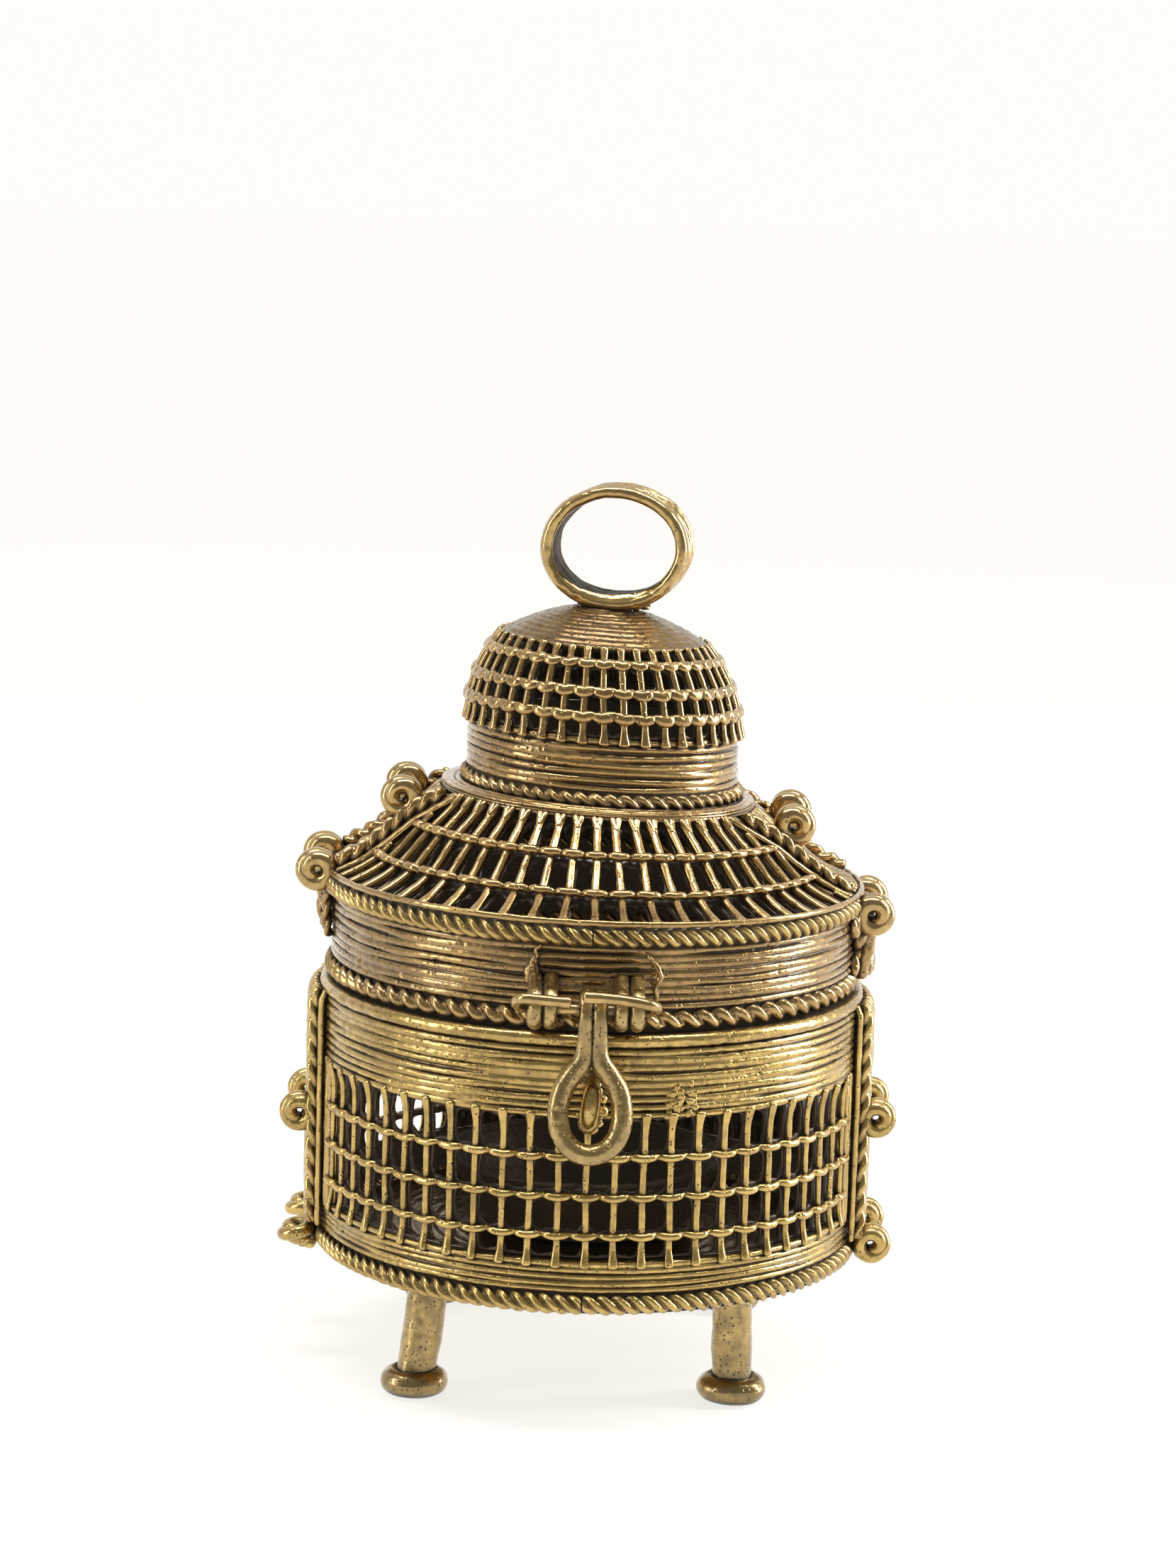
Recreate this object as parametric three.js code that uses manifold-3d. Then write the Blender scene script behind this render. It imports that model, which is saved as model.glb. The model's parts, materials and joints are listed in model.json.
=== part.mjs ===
// A lidded openwork censer box of cast brass, built up the way its wax model was: threads, ropes,
// bands and coils laid round a drum. Millimetres, +Z up. The origin is on the floor, on the axis of
// the box. The front, where the hasp hangs, faces -Y, and the lid hinge is at the back.
import * as THREE from "three";
import { mergeGeometries, mergeVertices } from "three/addons/utils/BufferGeometryUtils.js";
import Module from "manifold-3d";

const wasm = await Module();
wasm.setup();

// ---- driving dimensions ----
const GAP = 0.3; // between pieces that lie on each other
const WALL = 1.6; // thickness of the openwork
const BODY_R = 51.2; // outside of the body's openwork
const BAND_R = 51.4;
const LIP_R = 52.0;
const LID_R = 49.9; // outside of the lid's plain band
const ROPE = 1.75; // radius of the heavy ropes
const SIDE_ANGLE = 78; // degrees from the front to the ropes that edge the plain side strips
const GRILLE_Z = [32.0, 58.3]; // the body's openwork
const PARTING_Z = 73.6; // top of the body's lip
const BAND_BOTTOM = 77.9; // the lid's plain band
const BAND_TOP = 89.2;
const LID_ROPE_R = 51.05; // outside of the rope at the lid's rim
const SHOULDER_R = 51.65; // outside of the rope at the foot of the cone
const FLOOR_Z = 22.6; // underside of the floor plate
const FOOT_H = 4.8;
const LEG_R = 3.85;
const SIDE_ROPE = 0.9; // radius of the ropes down the sides of the body
const SIDE_ROPE_OUT = BAND_R + GAP + 2 * SIDE_ROPE; // and how far out they reach
const RIDGE_ROPE = 1.1; // radius of the ropes up the sides of the cone
// Where those ropes stand at the foot of the cone, at its two woven wires and at its top, in
// degrees from the front: each strip keeps its width as the cone narrows.
const RIDGE_ANGLES = { left: [78, 78, 74, 66], right: [76, 76, 70, 60] };
const KNOB_R = 4.0; // a coil knob's radius
const KNOB_T = 4.6; // and its thickness
const KNOB_EDGE = 0.8; // its rounded edge
const KNOB_REACH = 54.8; // axis of the box to the centre of a knob on the body

const BODY_PITCHES = 62; // bars round the body
const CONE_PITCHES = 55;
const DOME_PITCHES = 42;
const OPEN_COLUMNS = 24; // openings on each of the two open fronts of the body and the cone

const HINGE = { y: 57.4, z: 75.0, barrel: 3.2, bore: 1.5, pin: 1.25, half: 6.0, end: 11.4 };
const HASP = { y: -54.6, z: 79.0, pin: 1.1, bore: 1.4, eye: 3.6, width: 5.0, hang: 11.1 };
const LOOP = { halfWidth: 7.2, halfHeight: 9.5, slotHalf: 3.45, slotHeight: 6.45, thick: 3.5, drop: 18.5 };

// Outlines are [radius, height] points.
const CONE = [[50.2, 93.4], [42.6, 97.3], [36.2, 103.3], [29.6, 108.6]];
const DOME = [[26.3, 123.5], [26.0, 127.2], [24.6, 131.7], [22.0, 136.6], [19.2, 139.7]];
const CAP = [
  [0, 142.3], [9.5, 142.3], [14.5, 141.1], [17.0, 140.0], [18.8, 140.0], [18.1, 140.8],
  [15.2, 142.0], [12.8, 143.0], [10.4, 143.9], [0, 143.9],
];
const CUP = [
  [0, 25.3], [16.0, 25.3], [20.0, 27.2], [26.0, 38.0], [27.0, 39.6], [25.2, 39.6], [18.6, 28.8],
  [15.0, 27.2], [0, 27.0],
];
const DOME_X = 0.7; // the hand-laid dome sits a little to the right
const RING = { x: 2.3, z: 156.0, outer: [13.8, 11.8], inner: [11.4, 9.3], width: 11, turn: -9 };

// Corner, a leg's top on the floor plate, and the degrees that it leans outwards.
const LEGS = [
  ["front_left", -28.6, -28.2, 9],
  ["front_right", 27.9, -28.2, 2],
  ["back_left", -28.4, 28.2, 5],
  ["back_right", 28.2, 28.2, 6],
];
// Side, level, height, half the distance from the front knob to the back one, coil's axis.
const BODY_KNOBS = [
  ["left", "upper", 47.7, 9.2, "forward"],
  ["left", "lower", 24.0, 9.2, "up"],
  ["right", "upper", 49.6, 9.2, "forward"],
  ["right", "lower", 25.2, 9.2, "forward"],
];
// Side, level, distance out from the axis of the box, height, half the distance front to back.
const LID_KNOBS = [
  ["left", "upper", 36.9, 108.6, 9.0],
  ["right", "upper", 37.4, 105.4, 9.0],
  ["left", "lower", 52.6, 94.4, 9.0],
  ["right", "lower", 53.0, 88.9, 9.0],
];
const SIDES = [["left", -1], ["right", 1]];
const ENDS = [["front", 1], ["back", -1]];

const brass = (color, roughness) =>
  new THREE.MeshStandardMaterial({ color, roughness, metalness: 1.0 });
const YELLOW = brass(0xb59a58, 0.42);
const BROWN = brass(0x94753f, 0.45);
const POLISHED = brass(0xc2a25a, 0.3);
const IRONED = brass(0x6e5a38, 0.6);

const rad = THREE.MathUtils.degToRad;
const censer = new THREE.Group();

// ---- solids ----
const FLAT = 0.002; // triangles that are level to this make one flat face after a cut

function solid(geometry) {
  const bare = geometry.clone();
  bare.deleteAttribute("normal");
  bare.deleteAttribute("uv");
  const merged = mergeVertices(bare, 1e-4);
  const vertProperties = merged.attributes.position.array;
  const triVerts = new Uint32Array(merged.index.array);
  return new wasm.Manifold(new wasm.Mesh({ numProp: 3, vertProperties, triVerts }));
}

function geometryOf(made) {
  const mesh = made.asOriginal().simplify(FLAT).getMesh();
  const geometry = new THREE.BufferGeometry();
  const places = new Float32Array(mesh.numVert * 3);
  for (let i = 0; i < mesh.numVert; i++) {
    const at = i * mesh.numProp;
    places.set(mesh.vertProperties.subarray(at, at + 3), i * 3);
  }
  geometry.setAttribute("position", new THREE.BufferAttribute(places, 3));
  geometry.setIndex(new THREE.BufferAttribute(new Uint32Array(mesh.triVerts), 1));
  return geometry;
}

const cut = (body, ...tools) => geometryOf(tools.reduce((s, t) => s.subtract(solid(t)), solid(body)));
const join = (...bodies) => bodies.map(solid).reduce((a, b) => a.add(b));

// A solid of revolution about Z from an outline that closes on itself or on the axis.
function turned(outline, segments = 40) {
  const points = outline.map(([r, z]) => new THREE.Vector2(r, z));
  if (THREE.ShapeUtils.area(points) < 0) points.reverse();
  if (Math.min(...outline.map(([r]) => r)) > 0) points.push(points[0].clone());
  const shape = new THREE.LatheGeometry(points, segments);
  shape.rotateX(Math.PI / 2);
  return shape;
}

const ringBand = (outer, inner, low, high, segments) =>
  turned([[inner, low], [outer, low], [outer, high], [inner, high]], segments);

const disc = (radius, low, high, segments = 24) =>
  turned([[0, low], [radius, low], [radius, high], [0, high]], segments);

const rope = (outer, radius, low) =>
  new THREE.TorusGeometry(outer - radius, radius, 6, 40).translate(0, 0, low + radius);

// The inside of a turned shell: its outline moved in by the wall, with level ends.
function inside(outline) {
  const points = outline.map((p) => new THREE.Vector2(...p));
  const normal = (i) => {
    const along = points[i + 1].clone().sub(points[i]).normalize();
    return new THREE.Vector2(along.y, -along.x);
  };
  const last = points.length - 1;
  return points.map((p, i) => {
    if (i === 0 || i === last) return [p.x - WALL / normal(Math.min(i, last - 1)).x, p.y];
    const mean = normal(i - 1).add(normal(i)).normalize();
    const moved = p.clone().addScaledVector(mean, -WALL / mean.dot(normal(i)));
    return [moved.x, moved.y];
  });
}

const shell = (outline, segments) => turned([...outline, ...inside(outline).reverse()], segments);

// A round bar of constant section along a curve.
function barAlong(curve, radius, steps, sides = 8) {
  const section = new THREE.Shape();
  for (let i = 0; i < sides; i++) {
    const a = (i / sides) * 2 * Math.PI;
    const move = i === 0 ? "moveTo" : "lineTo";
    section[move](radius * Math.cos(a), radius * Math.sin(a));
  }
  return new THREE.ExtrudeGeometry(section, { steps, bevelEnabled: false, extrudePath: curve });
}

// A shape drawn in the XZ plane, extruded along Y and centred on y = 0.
function slab(shape, thickness, curveSegments = 8, bevel = 0) {
  const plate = new THREE.ExtrudeGeometry(shape, {
    depth: thickness - 2 * bevel,
    curveSegments,
    bevelEnabled: bevel > 0,
    bevelThickness: bevel,
    bevelSize: bevel,
    bevelOffset: -bevel,
    bevelSegments: 1,
  });
  plate.translate(0, 0, bevel - thickness / 2);
  plate.rotateX(Math.PI / 2);
  return plate;
}

// A point on the box: degrees from the front towards +X, radius and height.
function around(angle, radius, z) {
  return new THREE.Vector3(radius * Math.sin(rad(angle)), -radius * Math.cos(rad(angle)), z);
}

// Openings in a turned shell, one per pitch, in the middle of each facet. Each row gives the
// outline point pair that its facet runs between, how far along it the row starts and ends, and
// the width of the bars that are left.
function windows(outline, rows, pitches, columns) {
  const step = 360 / pitches;
  const boxes = [];
  for (const [i, from, to, bar] of rows) {
    const low = new THREE.Vector2(...outline[i]);
    const high = new THREE.Vector2(...outline[i + 1]);
    const a = low.clone().lerp(high, from);
    const b = low.clone().lerp(high, to);
    const middle = a.clone().lerp(b, 0.5);
    const slope = Math.atan2(a.x - b.x, b.y - a.y);
    const width = 2 * (middle.x - WALL / 2) * Math.tan(rad(step / 2)) - bar;
    for (const column of columns) {
      const box = new THREE.BoxGeometry(width, 3.6 * WALL, a.distanceTo(b));
      box.rotateX(-slope);
      box.translate(0, -middle.x + WALL / 2, middle.y);
      box.rotateZ(rad((column + 0.5) * step));
      boxes.push(box);
    }
  }
  return boxes;
}

const openFronts = (pitches) => {
  const half = OPEN_COLUMNS / 2;
  const back = Math.round(pitches / 2);
  const columns = [];
  for (let i = -half; i < half; i++) columns.push(i, i + back);
  return columns;
};

function add(parent, name, geometry, material) {
  const mesh = new THREE.Mesh(geometry, material);
  mesh.name = name;
  parent.add(mesh);
  return mesh;
}

// A turned piece is parted at the middle of its two side strips, into a front and a back half.
function addHalves(parent, name, geometry, material) {
  const reach = 120;
  for (const [end, front] of ENDS) {
    const side = new THREE.BoxGeometry(reach, reach, reach);
    side.translate(0, (-front * (reach + GAP)) / 2, reach / 2);
    add(parent, `${name}_${end}`, geometryOf(solid(geometry).intersect(solid(side))), material);
  }
}

// ---- the body ----
function openworkWall() {
  const wall = ringBand(BODY_R, BODY_R - WALL, ...GRILLE_Z, BODY_PITCHES);
  const height = GRILLE_Z[1] - GRILLE_Z[0];
  // Heights of the openings between the three woven wires.
  const rows = [[32.9, 36.0], [37.3, 43.2], [44.5, 50.4], [51.8, 57.6]];
  const bar = 1.3;
  const outline = GRILLE_Z.map((z) => [BODY_R, z]);
  const along = rows.map(([a, b]) => [0, (a - GRILLE_Z[0]) / height, (b - GRILLE_Z[0]) / height, bar]);
  const columns = openFronts(BODY_PITCHES);
  return cut(wall, mergeGeometries(windows(outline, along, BODY_PITCHES, columns)));
}

function legAndFoot(name, x, y, lean) {
  const top = FLOOR_Z - GAP;
  const bottom = FOOT_H + GAP;
  const leg = new THREE.CylinderGeometry(LEG_R, LEG_R, top - bottom, 12);
  leg.rotateX(Math.PI / 2);
  leg.translate(0, 0, (top + bottom) / 2);
  const shear = Math.tan(rad(lean));
  const sx = (Math.sign(x) * shear) / Math.SQRT2;
  const sy = (Math.sign(y) * shear) / Math.SQRT2;
  const slant = new THREE.Matrix4().set(1, 0, -sx, sx * top, 0, 1, -sy, sy * top, 0, 0, 1, 0, 0, 0, 0, 1);
  leg.applyMatrix4(slant);
  const legMesh = add(censer, `leg_${name}`, leg, YELLOW);
  legMesh.position.set(x, y, 0);
  const outline = [
    [0, 0], [4.6, 0], [6.1, 0.9], [6.6, 2.4], [6.1, 3.9], [4.6, FOOT_H], [0, FOOT_H],
  ];
  const foot = add(censer, `foot_${name}`, turned(outline, 14), YELLOW);
  const reach = top - FOOT_H / 2;
  foot.position.set(x + sx * reach, y + sy * reach, 0);
}

// A coil knob: a short drum with rounded edges, standing on the side of the box.
function knob(turn) {
  const half = KNOB_T / 2;
  const flat = KNOB_R - KNOB_EDGE;
  const drum = turned(
    [[0, -half], [flat, -half], [KNOB_R, -half / 2], [KNOB_R, half / 2], [flat, half], [0, half]],
    12,
  );
  if (turn === "forward") drum.rotateX(Math.PI / 2);
  return drum;
}

function bodyKnobs() {
  const clear = disc(SIDE_ROPE_OUT + GAP, 0, 80, 62);
  for (const [side, level, z, y, turn] of BODY_KNOBS)
    for (const [end, front] of ENDS) {
      const x = (side === "left" ? -1 : 1) * KNOB_REACH;
      const shape = knob(turn).translate(x, -front * y, z);
      add(censer, `body_knob_${side}_${end}_${level}`, cut(shape, clear), YELLOW);
    }
}

// The ropes that edge the plain strips at the two sides, from the base rope to the lip.
function sideRopes() {
  for (const [side, sign] of SIDES)
    for (const [end, front] of ENDS) {
      const angle = sign * (front > 0 ? SIDE_ANGLE : 180 - SIDE_ANGLE);
      const radius = SIDE_ROPE_OUT - SIDE_ROPE;
      const line = new THREE.LineCurve3(around(angle, radius, 27.0), around(angle, radius, 71.0));
      add(censer, `side_rope_${side}_${end}`, barAlong(line, SIDE_ROPE, 1), YELLOW);
    }
}

// The staple that the hasp drops over, standing on the front of the wall.
function staple() {
  const radius = 1.5;
  const middle = 61.0;
  const lean = 0.1;
  const corners = [[-48, 65.0], [-53.4, 65.0], [-56, 62.8], [-56, 58.8], [-53.4, 56.8], [-48, 56.8]];
  const places = corners.map(([y, z]) => new THREE.Vector3(0.5 + (z - middle) * lean, y, z));
  const path = new THREE.CatmullRomCurve3(places, false, "centripetal");
  return cut(barAlong(path, radius, 14), disc(BAND_R + GAP, 50, 72, BODY_PITCHES));
}

function barrel(from, to) {
  const { barrel: outer, bore } = HINGE;
  const tube = ringBand(outer, bore, from, to, 16);
  tube.rotateY(Math.PI / 2);
  return tube.translate(0, HINGE.y, HINGE.z);
}

const hingeBore = () => {
  const hole = disc(HINGE.bore, -20, 20, 16);
  hole.rotateY(Math.PI / 2);
  return hole.translate(0, HINGE.y, HINGE.z);
};

function bodyHingeKnuckle() {
  const arm = new THREE.BoxGeometry(2 * HINGE.half, 9.0, 6.0).translate(0, HINGE.y - 4.5, HINGE.z - 3.6);
  const made = join(barrel(-HINGE.half, HINGE.half), arm).subtract(solid(hingeBore()));
  return geometryOf(made.subtract(solid(disc(LIP_R + GAP, 60, PARTING_Z + 4, BODY_PITCHES))));
}

function hingePin() {
  const { pin, end } = HINGE;
  const outline = [
    [0, -end - 1.6], [2.2, -end - 1.2], [2.2, -end - GAP], [pin, -end - GAP],
    [pin, end + GAP], [2.2, end + GAP], [2.2, end + 1.2], [0, end + 1.6],
  ];
  const shape = turned(outline, 16);
  shape.rotateY(Math.PI / 2);
  return shape.translate(0, HINGE.y, HINGE.z);
}

add(censer, "floor_plate", disc(BAND_R - 2 * ROPE - 0.6 + GAP, FLOOR_Z, 25.0, 48), BROWN);
add(censer, "base_rope", rope(52.5, ROPE, 22.2), YELLOW);
add(censer, "lower_band", ringBand(BAND_R + 0.2, 49.4, 26.0, GRILLE_Z[0] - GAP), YELLOW);
addHalves(censer, "openwork_wall", openworkWall(), YELLOW);
add(censer, "upper_band", ringBand(BAND_R, 49.4, GRILLE_Z[1] + GAP, 71.1), YELLOW);
add(censer, "rim_lip", ringBand(LIP_R, 48.6, 71.4, PARTING_Z), YELLOW);
sideRopes();
bodyKnobs();
for (const leg of LEGS) legAndFoot(...leg);
add(censer, "staple", staple(), YELLOW);
add(censer, "body_hinge_knuckle", bodyHingeKnuckle(), BROWN);
add(censer, "hinge_pin", hingePin(), IRONED);

// ---- the lid ----
function openworkCone() {
  const rows = [[0, 0.38, 0.9, 1.4], [1, 0.09, 0.9, 1.3], [2, 0.1, 0.9, 1.2]];
  const openings = windows(CONE, rows, CONE_PITCHES, openFronts(CONE_PITCHES));
  return cut(shell(CONE, CONE_PITCHES), mergeGeometries(openings));
}

function openworkDome() {
  const rows = [[0, 0.12, 0.84, 1.6], [1, 0.15, 0.85, 1.5], [2, 0.14, 0.86, 1.4], [3, 0.18, 0.84, 1.3]];
  const columns = Array.from({ length: DOME_PITCHES }, (_, i) => i);
  const openings = windows(DOME, rows, DOME_PITCHES, columns);
  return cut(shell(DOME, DOME_PITCHES), mergeGeometries(openings));
}

// The space that the lid takes up, a gap larger, for trimming what stands on its outside.
function lidClearance(lift) {
  const shoulder = SHOULDER_R + GAP;
  const out = [[LID_R + GAP, 70], [LID_R + GAP, BAND_TOP], [shoulder, BAND_TOP]];
  const cone = CONE.map(([r, z]) => [r + 0.7 * lift + 0.2, z + 0.7 * lift]);
  return turned([[0, 70], ...out, [shoulder, cone[0][1]], ...cone.slice(1), [0, 112]], CONE_PITCHES);
}

// The space that the lid's band and the rope under it take up, a gap larger.
function bandClearance() {
  const rope = LID_ROPE_R + GAP;
  const band = LID_R + GAP;
  return turned([[0, 70], [rope, 70], [rope, BAND_BOTTOM], [band, BAND_BOTTOM], [band, 90], [0, 90]]);
}

// The ropes that edge the plain strips of the cone.
function ridgeRopes() {
  const lift = RIDGE_ROPE + GAP + 0.15;
  for (const [side, sign] of SIDES)
    for (const [end, front] of ENDS) {
      const places = CONE.map(([r, z], i) => {
        const turn = RIDGE_ANGLES[side][i];
        return around(sign * (front > 0 ? turn : 180 - turn), r + 0.72 * lift, z + 0.72 * lift);
      });
      places[0].lerp(places[1], 0.12);
      places[3].lerp(places[2], 0.1);
      const path = new THREE.CatmullRomCurve3(places, false, "centripetal");
      add(lid, `ridge_rope_${side}_${end}`, barAlong(path, RIDGE_ROPE, 6, 6), BROWN);
    }
}

function lidKnobs() {
  const clear = lidClearance(2 * RIDGE_ROPE + 0.9);
  for (const [side, level, reach, z, y] of LID_KNOBS)
    for (const [end, front] of ENDS) {
      const x = (side === "left" ? -1 : 1) * reach;
      const shape = knob("forward").translate(x, -front * y, z);
      add(lid, `lid_knob_${side}_${end}_${level}`, cut(shape, clear), POLISHED);
    }
}

function ringHandle() {
  const ring = new THREE.Shape();
  ring.absellipse(0, 0, ...RING.outer, 0, 2 * Math.PI, false);
  const hole = new THREE.Path();
  hole.absellipse(0, 0, ...RING.inner, 0, 2 * Math.PI, false);
  ring.holes.push(hole);
  const band = slab(ring, RING.width, 16);
  band.translate(0, 0, RING.z);
  const boss = turned([[0, 144.2], [4.6, 144.2], [3.6, 145.9], [0, 145.9]], 16);
  return geometryOf(join(band, boss));
}

// Two wires bent into a loop that stands on the lid's band and holds the hasp's pin.
function haspKnuckle(x) {
  const [front, back] = [-58.4, -46];
  const [low, high] = [75.4, 84.0];
  const width = 5.2;
  const shape = new THREE.Shape();
  shape.moveTo(back, low);
  shape.lineTo(front + 1.8, low);
  shape.quadraticCurveTo(front, low + 0.4, front, low + 2.6);
  shape.lineTo(front, high - 2.8);
  shape.quadraticCurveTo(front + 0.2, high - 0.2, front + 2.8, high);
  shape.lineTo(back, high);
  const hole = new THREE.Path();
  hole.absarc(HASP.y, HASP.z, HASP.bore, 0, 2 * Math.PI, false);
  shape.holes.push(hole);
  const plate = new THREE.ExtrudeGeometry(shape, { depth: width, curveSegments: 6, bevelEnabled: false });
  plate.translate(0, 0, -width / 2);
  plate.rotateX(Math.PI / 2);
  plate.rotateZ(Math.PI / 2);
  plate.translate(x, 0, 0);
  return cut(plate, bandClearance());
}

// The hasp's pin: a wire pushed through both knuckles, its two ends folded back over them.
function haspPin() {
  const front = -59.9;
  const places = [
    [-3.8, front, 81.5], [-11.9, front, 81.8], [-13.4, -57.3, 80.6], [-11.9, HASP.y, HASP.z],
    [-6.0, HASP.y, HASP.z], [4.2, HASP.y, HASP.z], [10.0, HASP.y, HASP.z], [11.6, -57.3, 80.3],
    [10.0, front, 81.5], [-1.8, front, 82.6],
  ].map((p) => new THREE.Vector3(...p));
  const line = new THREE.CatmullRomCurve3(places, false, "centripetal", 0.5);
  return barAlong(line, HASP.pin, 30, 6);
}

function lidHingeKnuckle(from, to) {
  const middle = (from + to) / 2;
  const arm = new THREE.BoxGeometry(to - from, 10, 5.0).translate(middle, HINGE.y - 5.0, HINGE.z + 5.2);
  const web = new THREE.BoxGeometry(to - from, 4.4, 4.4).translate(middle, HINGE.y - 0.4, HINGE.z + 3.2);
  const made = join(barrel(from, to), arm, web).subtract(solid(hingeBore()));
  return geometryOf(made.subtract(solid(bandClearance())));
}

const lid = new THREE.Group();
censer.add(lid);
add(lid, "lid_rope", rope(LID_ROPE_R, 1.85, 73.9), BROWN);
add(lid, "lid_band", ringBand(LID_R, LID_R - 2, BAND_BOTTOM, BAND_TOP), BROWN);
add(lid, "shoulder_rope", rope(SHOULDER_R, ROPE, BAND_TOP + GAP), YELLOW);
addHalves(lid, "openwork_cone", openworkCone(), BROWN);
ridgeRopes();
lidKnobs();
add(lid, "cone_collar", turned([[23.4, 108.9], [29.8, 108.9], [28.9, 110.1], [23.4, 110.1]]), BROWN);

const dome = new THREE.Group();
dome.position.x = DOME_X;
lid.add(dome);
add(dome, "dome_rope", rope(27.0, 1.5, 110.2), BROWN);
add(dome, "dome_drum", ringBand(25.8, 23.8, 113.3, 123.2, DOME_PITCHES), BROWN);
add(dome, "openwork_dome", openworkDome(), BROWN);
add(dome, "dome_cap", turned(CAP, 30), BROWN);

const ring = add(lid, "ring_handle", ringHandle(), POLISHED);
ring.position.x = RING.x;
ring.rotation.z = rad(RING.turn);

add(lid, "hasp_knuckle_left", haspKnuckle(-8.7), POLISHED);
add(lid, "hasp_knuckle_right", haspKnuckle(6.7), POLISHED);
add(lid, "hasp_pin", haspPin(), POLISHED);
add(lid, "lid_hinge_knuckle_left", lidHingeKnuckle(-HINGE.end, -HINGE.half - 0.4), BROWN);
add(lid, "lid_hinge_knuckle_right", lidHingeKnuckle(HINGE.half + 0.4, HINGE.end), BROWN);

// ---- the hasp: an eye on the pin, a stem and a long loop, hanging just off the staple ----
function haspShape() {
  const { halfWidth, halfHeight, slotHalf, slotHeight, thick, drop } = LOOP;
  const loop = new THREE.Shape();
  loop.absellipse(0, -drop, halfWidth, halfHeight, 0, 2 * Math.PI, false);
  const slot = new THREE.Path();
  const straight = slotHeight - slotHalf;
  slot.absarc(0, -drop + straight, slotHalf, 0, Math.PI, false);
  slot.absarc(0, -drop - straight, slotHalf, Math.PI, 2 * Math.PI, false);
  slot.closePath();
  loop.holes.push(slot);
  const eye = ringBand(HASP.eye, HASP.bore, -HASP.width / 2, HASP.width / 2, 16);
  eye.rotateY(Math.PI / 2);
  const length = drop - halfHeight + 1;
  const stem = new THREE.BoxGeometry(HASP.width, 2.6, length).translate(0, 0, -length / 2 - 0.6);
  const hole = disc(HASP.bore, -4, 4, 16);
  hole.rotateY(Math.PI / 2);
  return geometryOf(join(slab(loop, thick, 10, 0.7), stem, eye).subtract(solid(hole)));
}

const hasp = add(censer, "hasp", haspShape(), YELLOW);
hasp.position.set(0.3, HASP.y, HASP.z);
hasp.rotation.x = rad(-HASP.hang);

// ---- the loose cup that holds the charcoal, on the floor of the box ----
add(censer, "ember_cup", turned(CUP, 24), IRONED);

export default censer;
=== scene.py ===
"""The looks of a lidded openwork censer box, cast in brass from hand-laid wax threads.

Every piece is made in millimetres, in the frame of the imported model, and turned into metres when
its mesh is made. The front with the hasp faces -Y. Angles round the box run from the front
towards +X, in degrees."""
import json
import math

import bpy
import numpy as np
from mathutils import Matrix, Vector


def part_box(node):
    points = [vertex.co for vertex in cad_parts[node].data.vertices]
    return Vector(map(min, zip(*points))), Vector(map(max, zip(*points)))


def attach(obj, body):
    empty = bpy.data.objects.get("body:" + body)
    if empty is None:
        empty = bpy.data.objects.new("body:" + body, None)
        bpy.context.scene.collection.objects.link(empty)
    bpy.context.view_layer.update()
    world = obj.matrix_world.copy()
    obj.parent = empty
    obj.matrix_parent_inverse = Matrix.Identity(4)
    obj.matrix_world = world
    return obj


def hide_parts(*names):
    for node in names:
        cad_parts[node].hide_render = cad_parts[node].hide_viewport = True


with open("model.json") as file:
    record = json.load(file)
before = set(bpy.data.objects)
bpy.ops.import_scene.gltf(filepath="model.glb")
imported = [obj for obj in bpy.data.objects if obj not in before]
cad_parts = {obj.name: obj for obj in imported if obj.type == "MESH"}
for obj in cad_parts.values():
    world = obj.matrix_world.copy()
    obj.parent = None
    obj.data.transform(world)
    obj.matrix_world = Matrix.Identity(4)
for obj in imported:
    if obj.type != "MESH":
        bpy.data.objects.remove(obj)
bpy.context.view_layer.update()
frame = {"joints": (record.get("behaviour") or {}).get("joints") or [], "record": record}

MM = 0.001
# The second material is soot on what faces the inside of the box. On the inside of the ring and on
# the bands behind the ropes, it is painted shade.
DARK = 1  # index of a piece's second material, for what faces the inside of the box
WEB = 2  # and of its third, for the thin web behind the bars

# ---- what the frame says, in millimetres ----


def box(node):
    low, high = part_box(node)
    return np.array(low) / MM, np.array(high) / MM


def turned_box(node):
    """Centre in x, outer radius, lowest and highest point of a piece turned about Z."""
    low, high = box(node)
    return (low[0] + high[0]) / 2, (high[0] - low[0]) / 2, low[2], high[2]


JOINTS = {j["name"]: j for j in frame["joints"]}
HINGE = np.array(JOINTS["lid_hinge"]["pos_m"]) / MM
PIN = np.array(JOINTS["hasp_hinge"]["pos_m"]) / MM
HASP_HANG = 11.1  # degrees that the stored hasp stands off the wall

BODY_PITCHES, CONE_PITCHES, DOME_PITCHES = 62, 55, 42  # bars round each part
OPEN_COLUMNS = 24  # openings across each open front of the body and the cone
WOVEN_Z = (36.6, 43.8, 51.1)  # heights of the wires woven across the body's bars
# outlines of the lid's cone and dome: radius and height
CONE = np.array([[50.2, 93.4], [42.6, 97.3], [36.2, 103.3], [29.6, 108.6]])
DOME = np.array([[26.3, 123.5], [26.0, 127.2], [24.6, 131.7], [22.0, 136.6], [19.2, 139.7]])
DOME_LEAN = -0.4  # how far its axis drifts sideways on the way up


# ---- noise and curves ----


def hashed(x, y, z, seed):
    """A fixed number from -1 to 1 for each set of whole numbers."""
    h = (x * 374761393 + y * 668265263 + z * 1274126177 + seed * 362437) & 0xFFFFFFFF
    h = ((h ^ (h >> 13)) * 1103515245) & 0xFFFFFFFF
    return ((h ^ (h >> 16)) & 0xFFFF) / 32767.5 - 1.0


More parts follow.
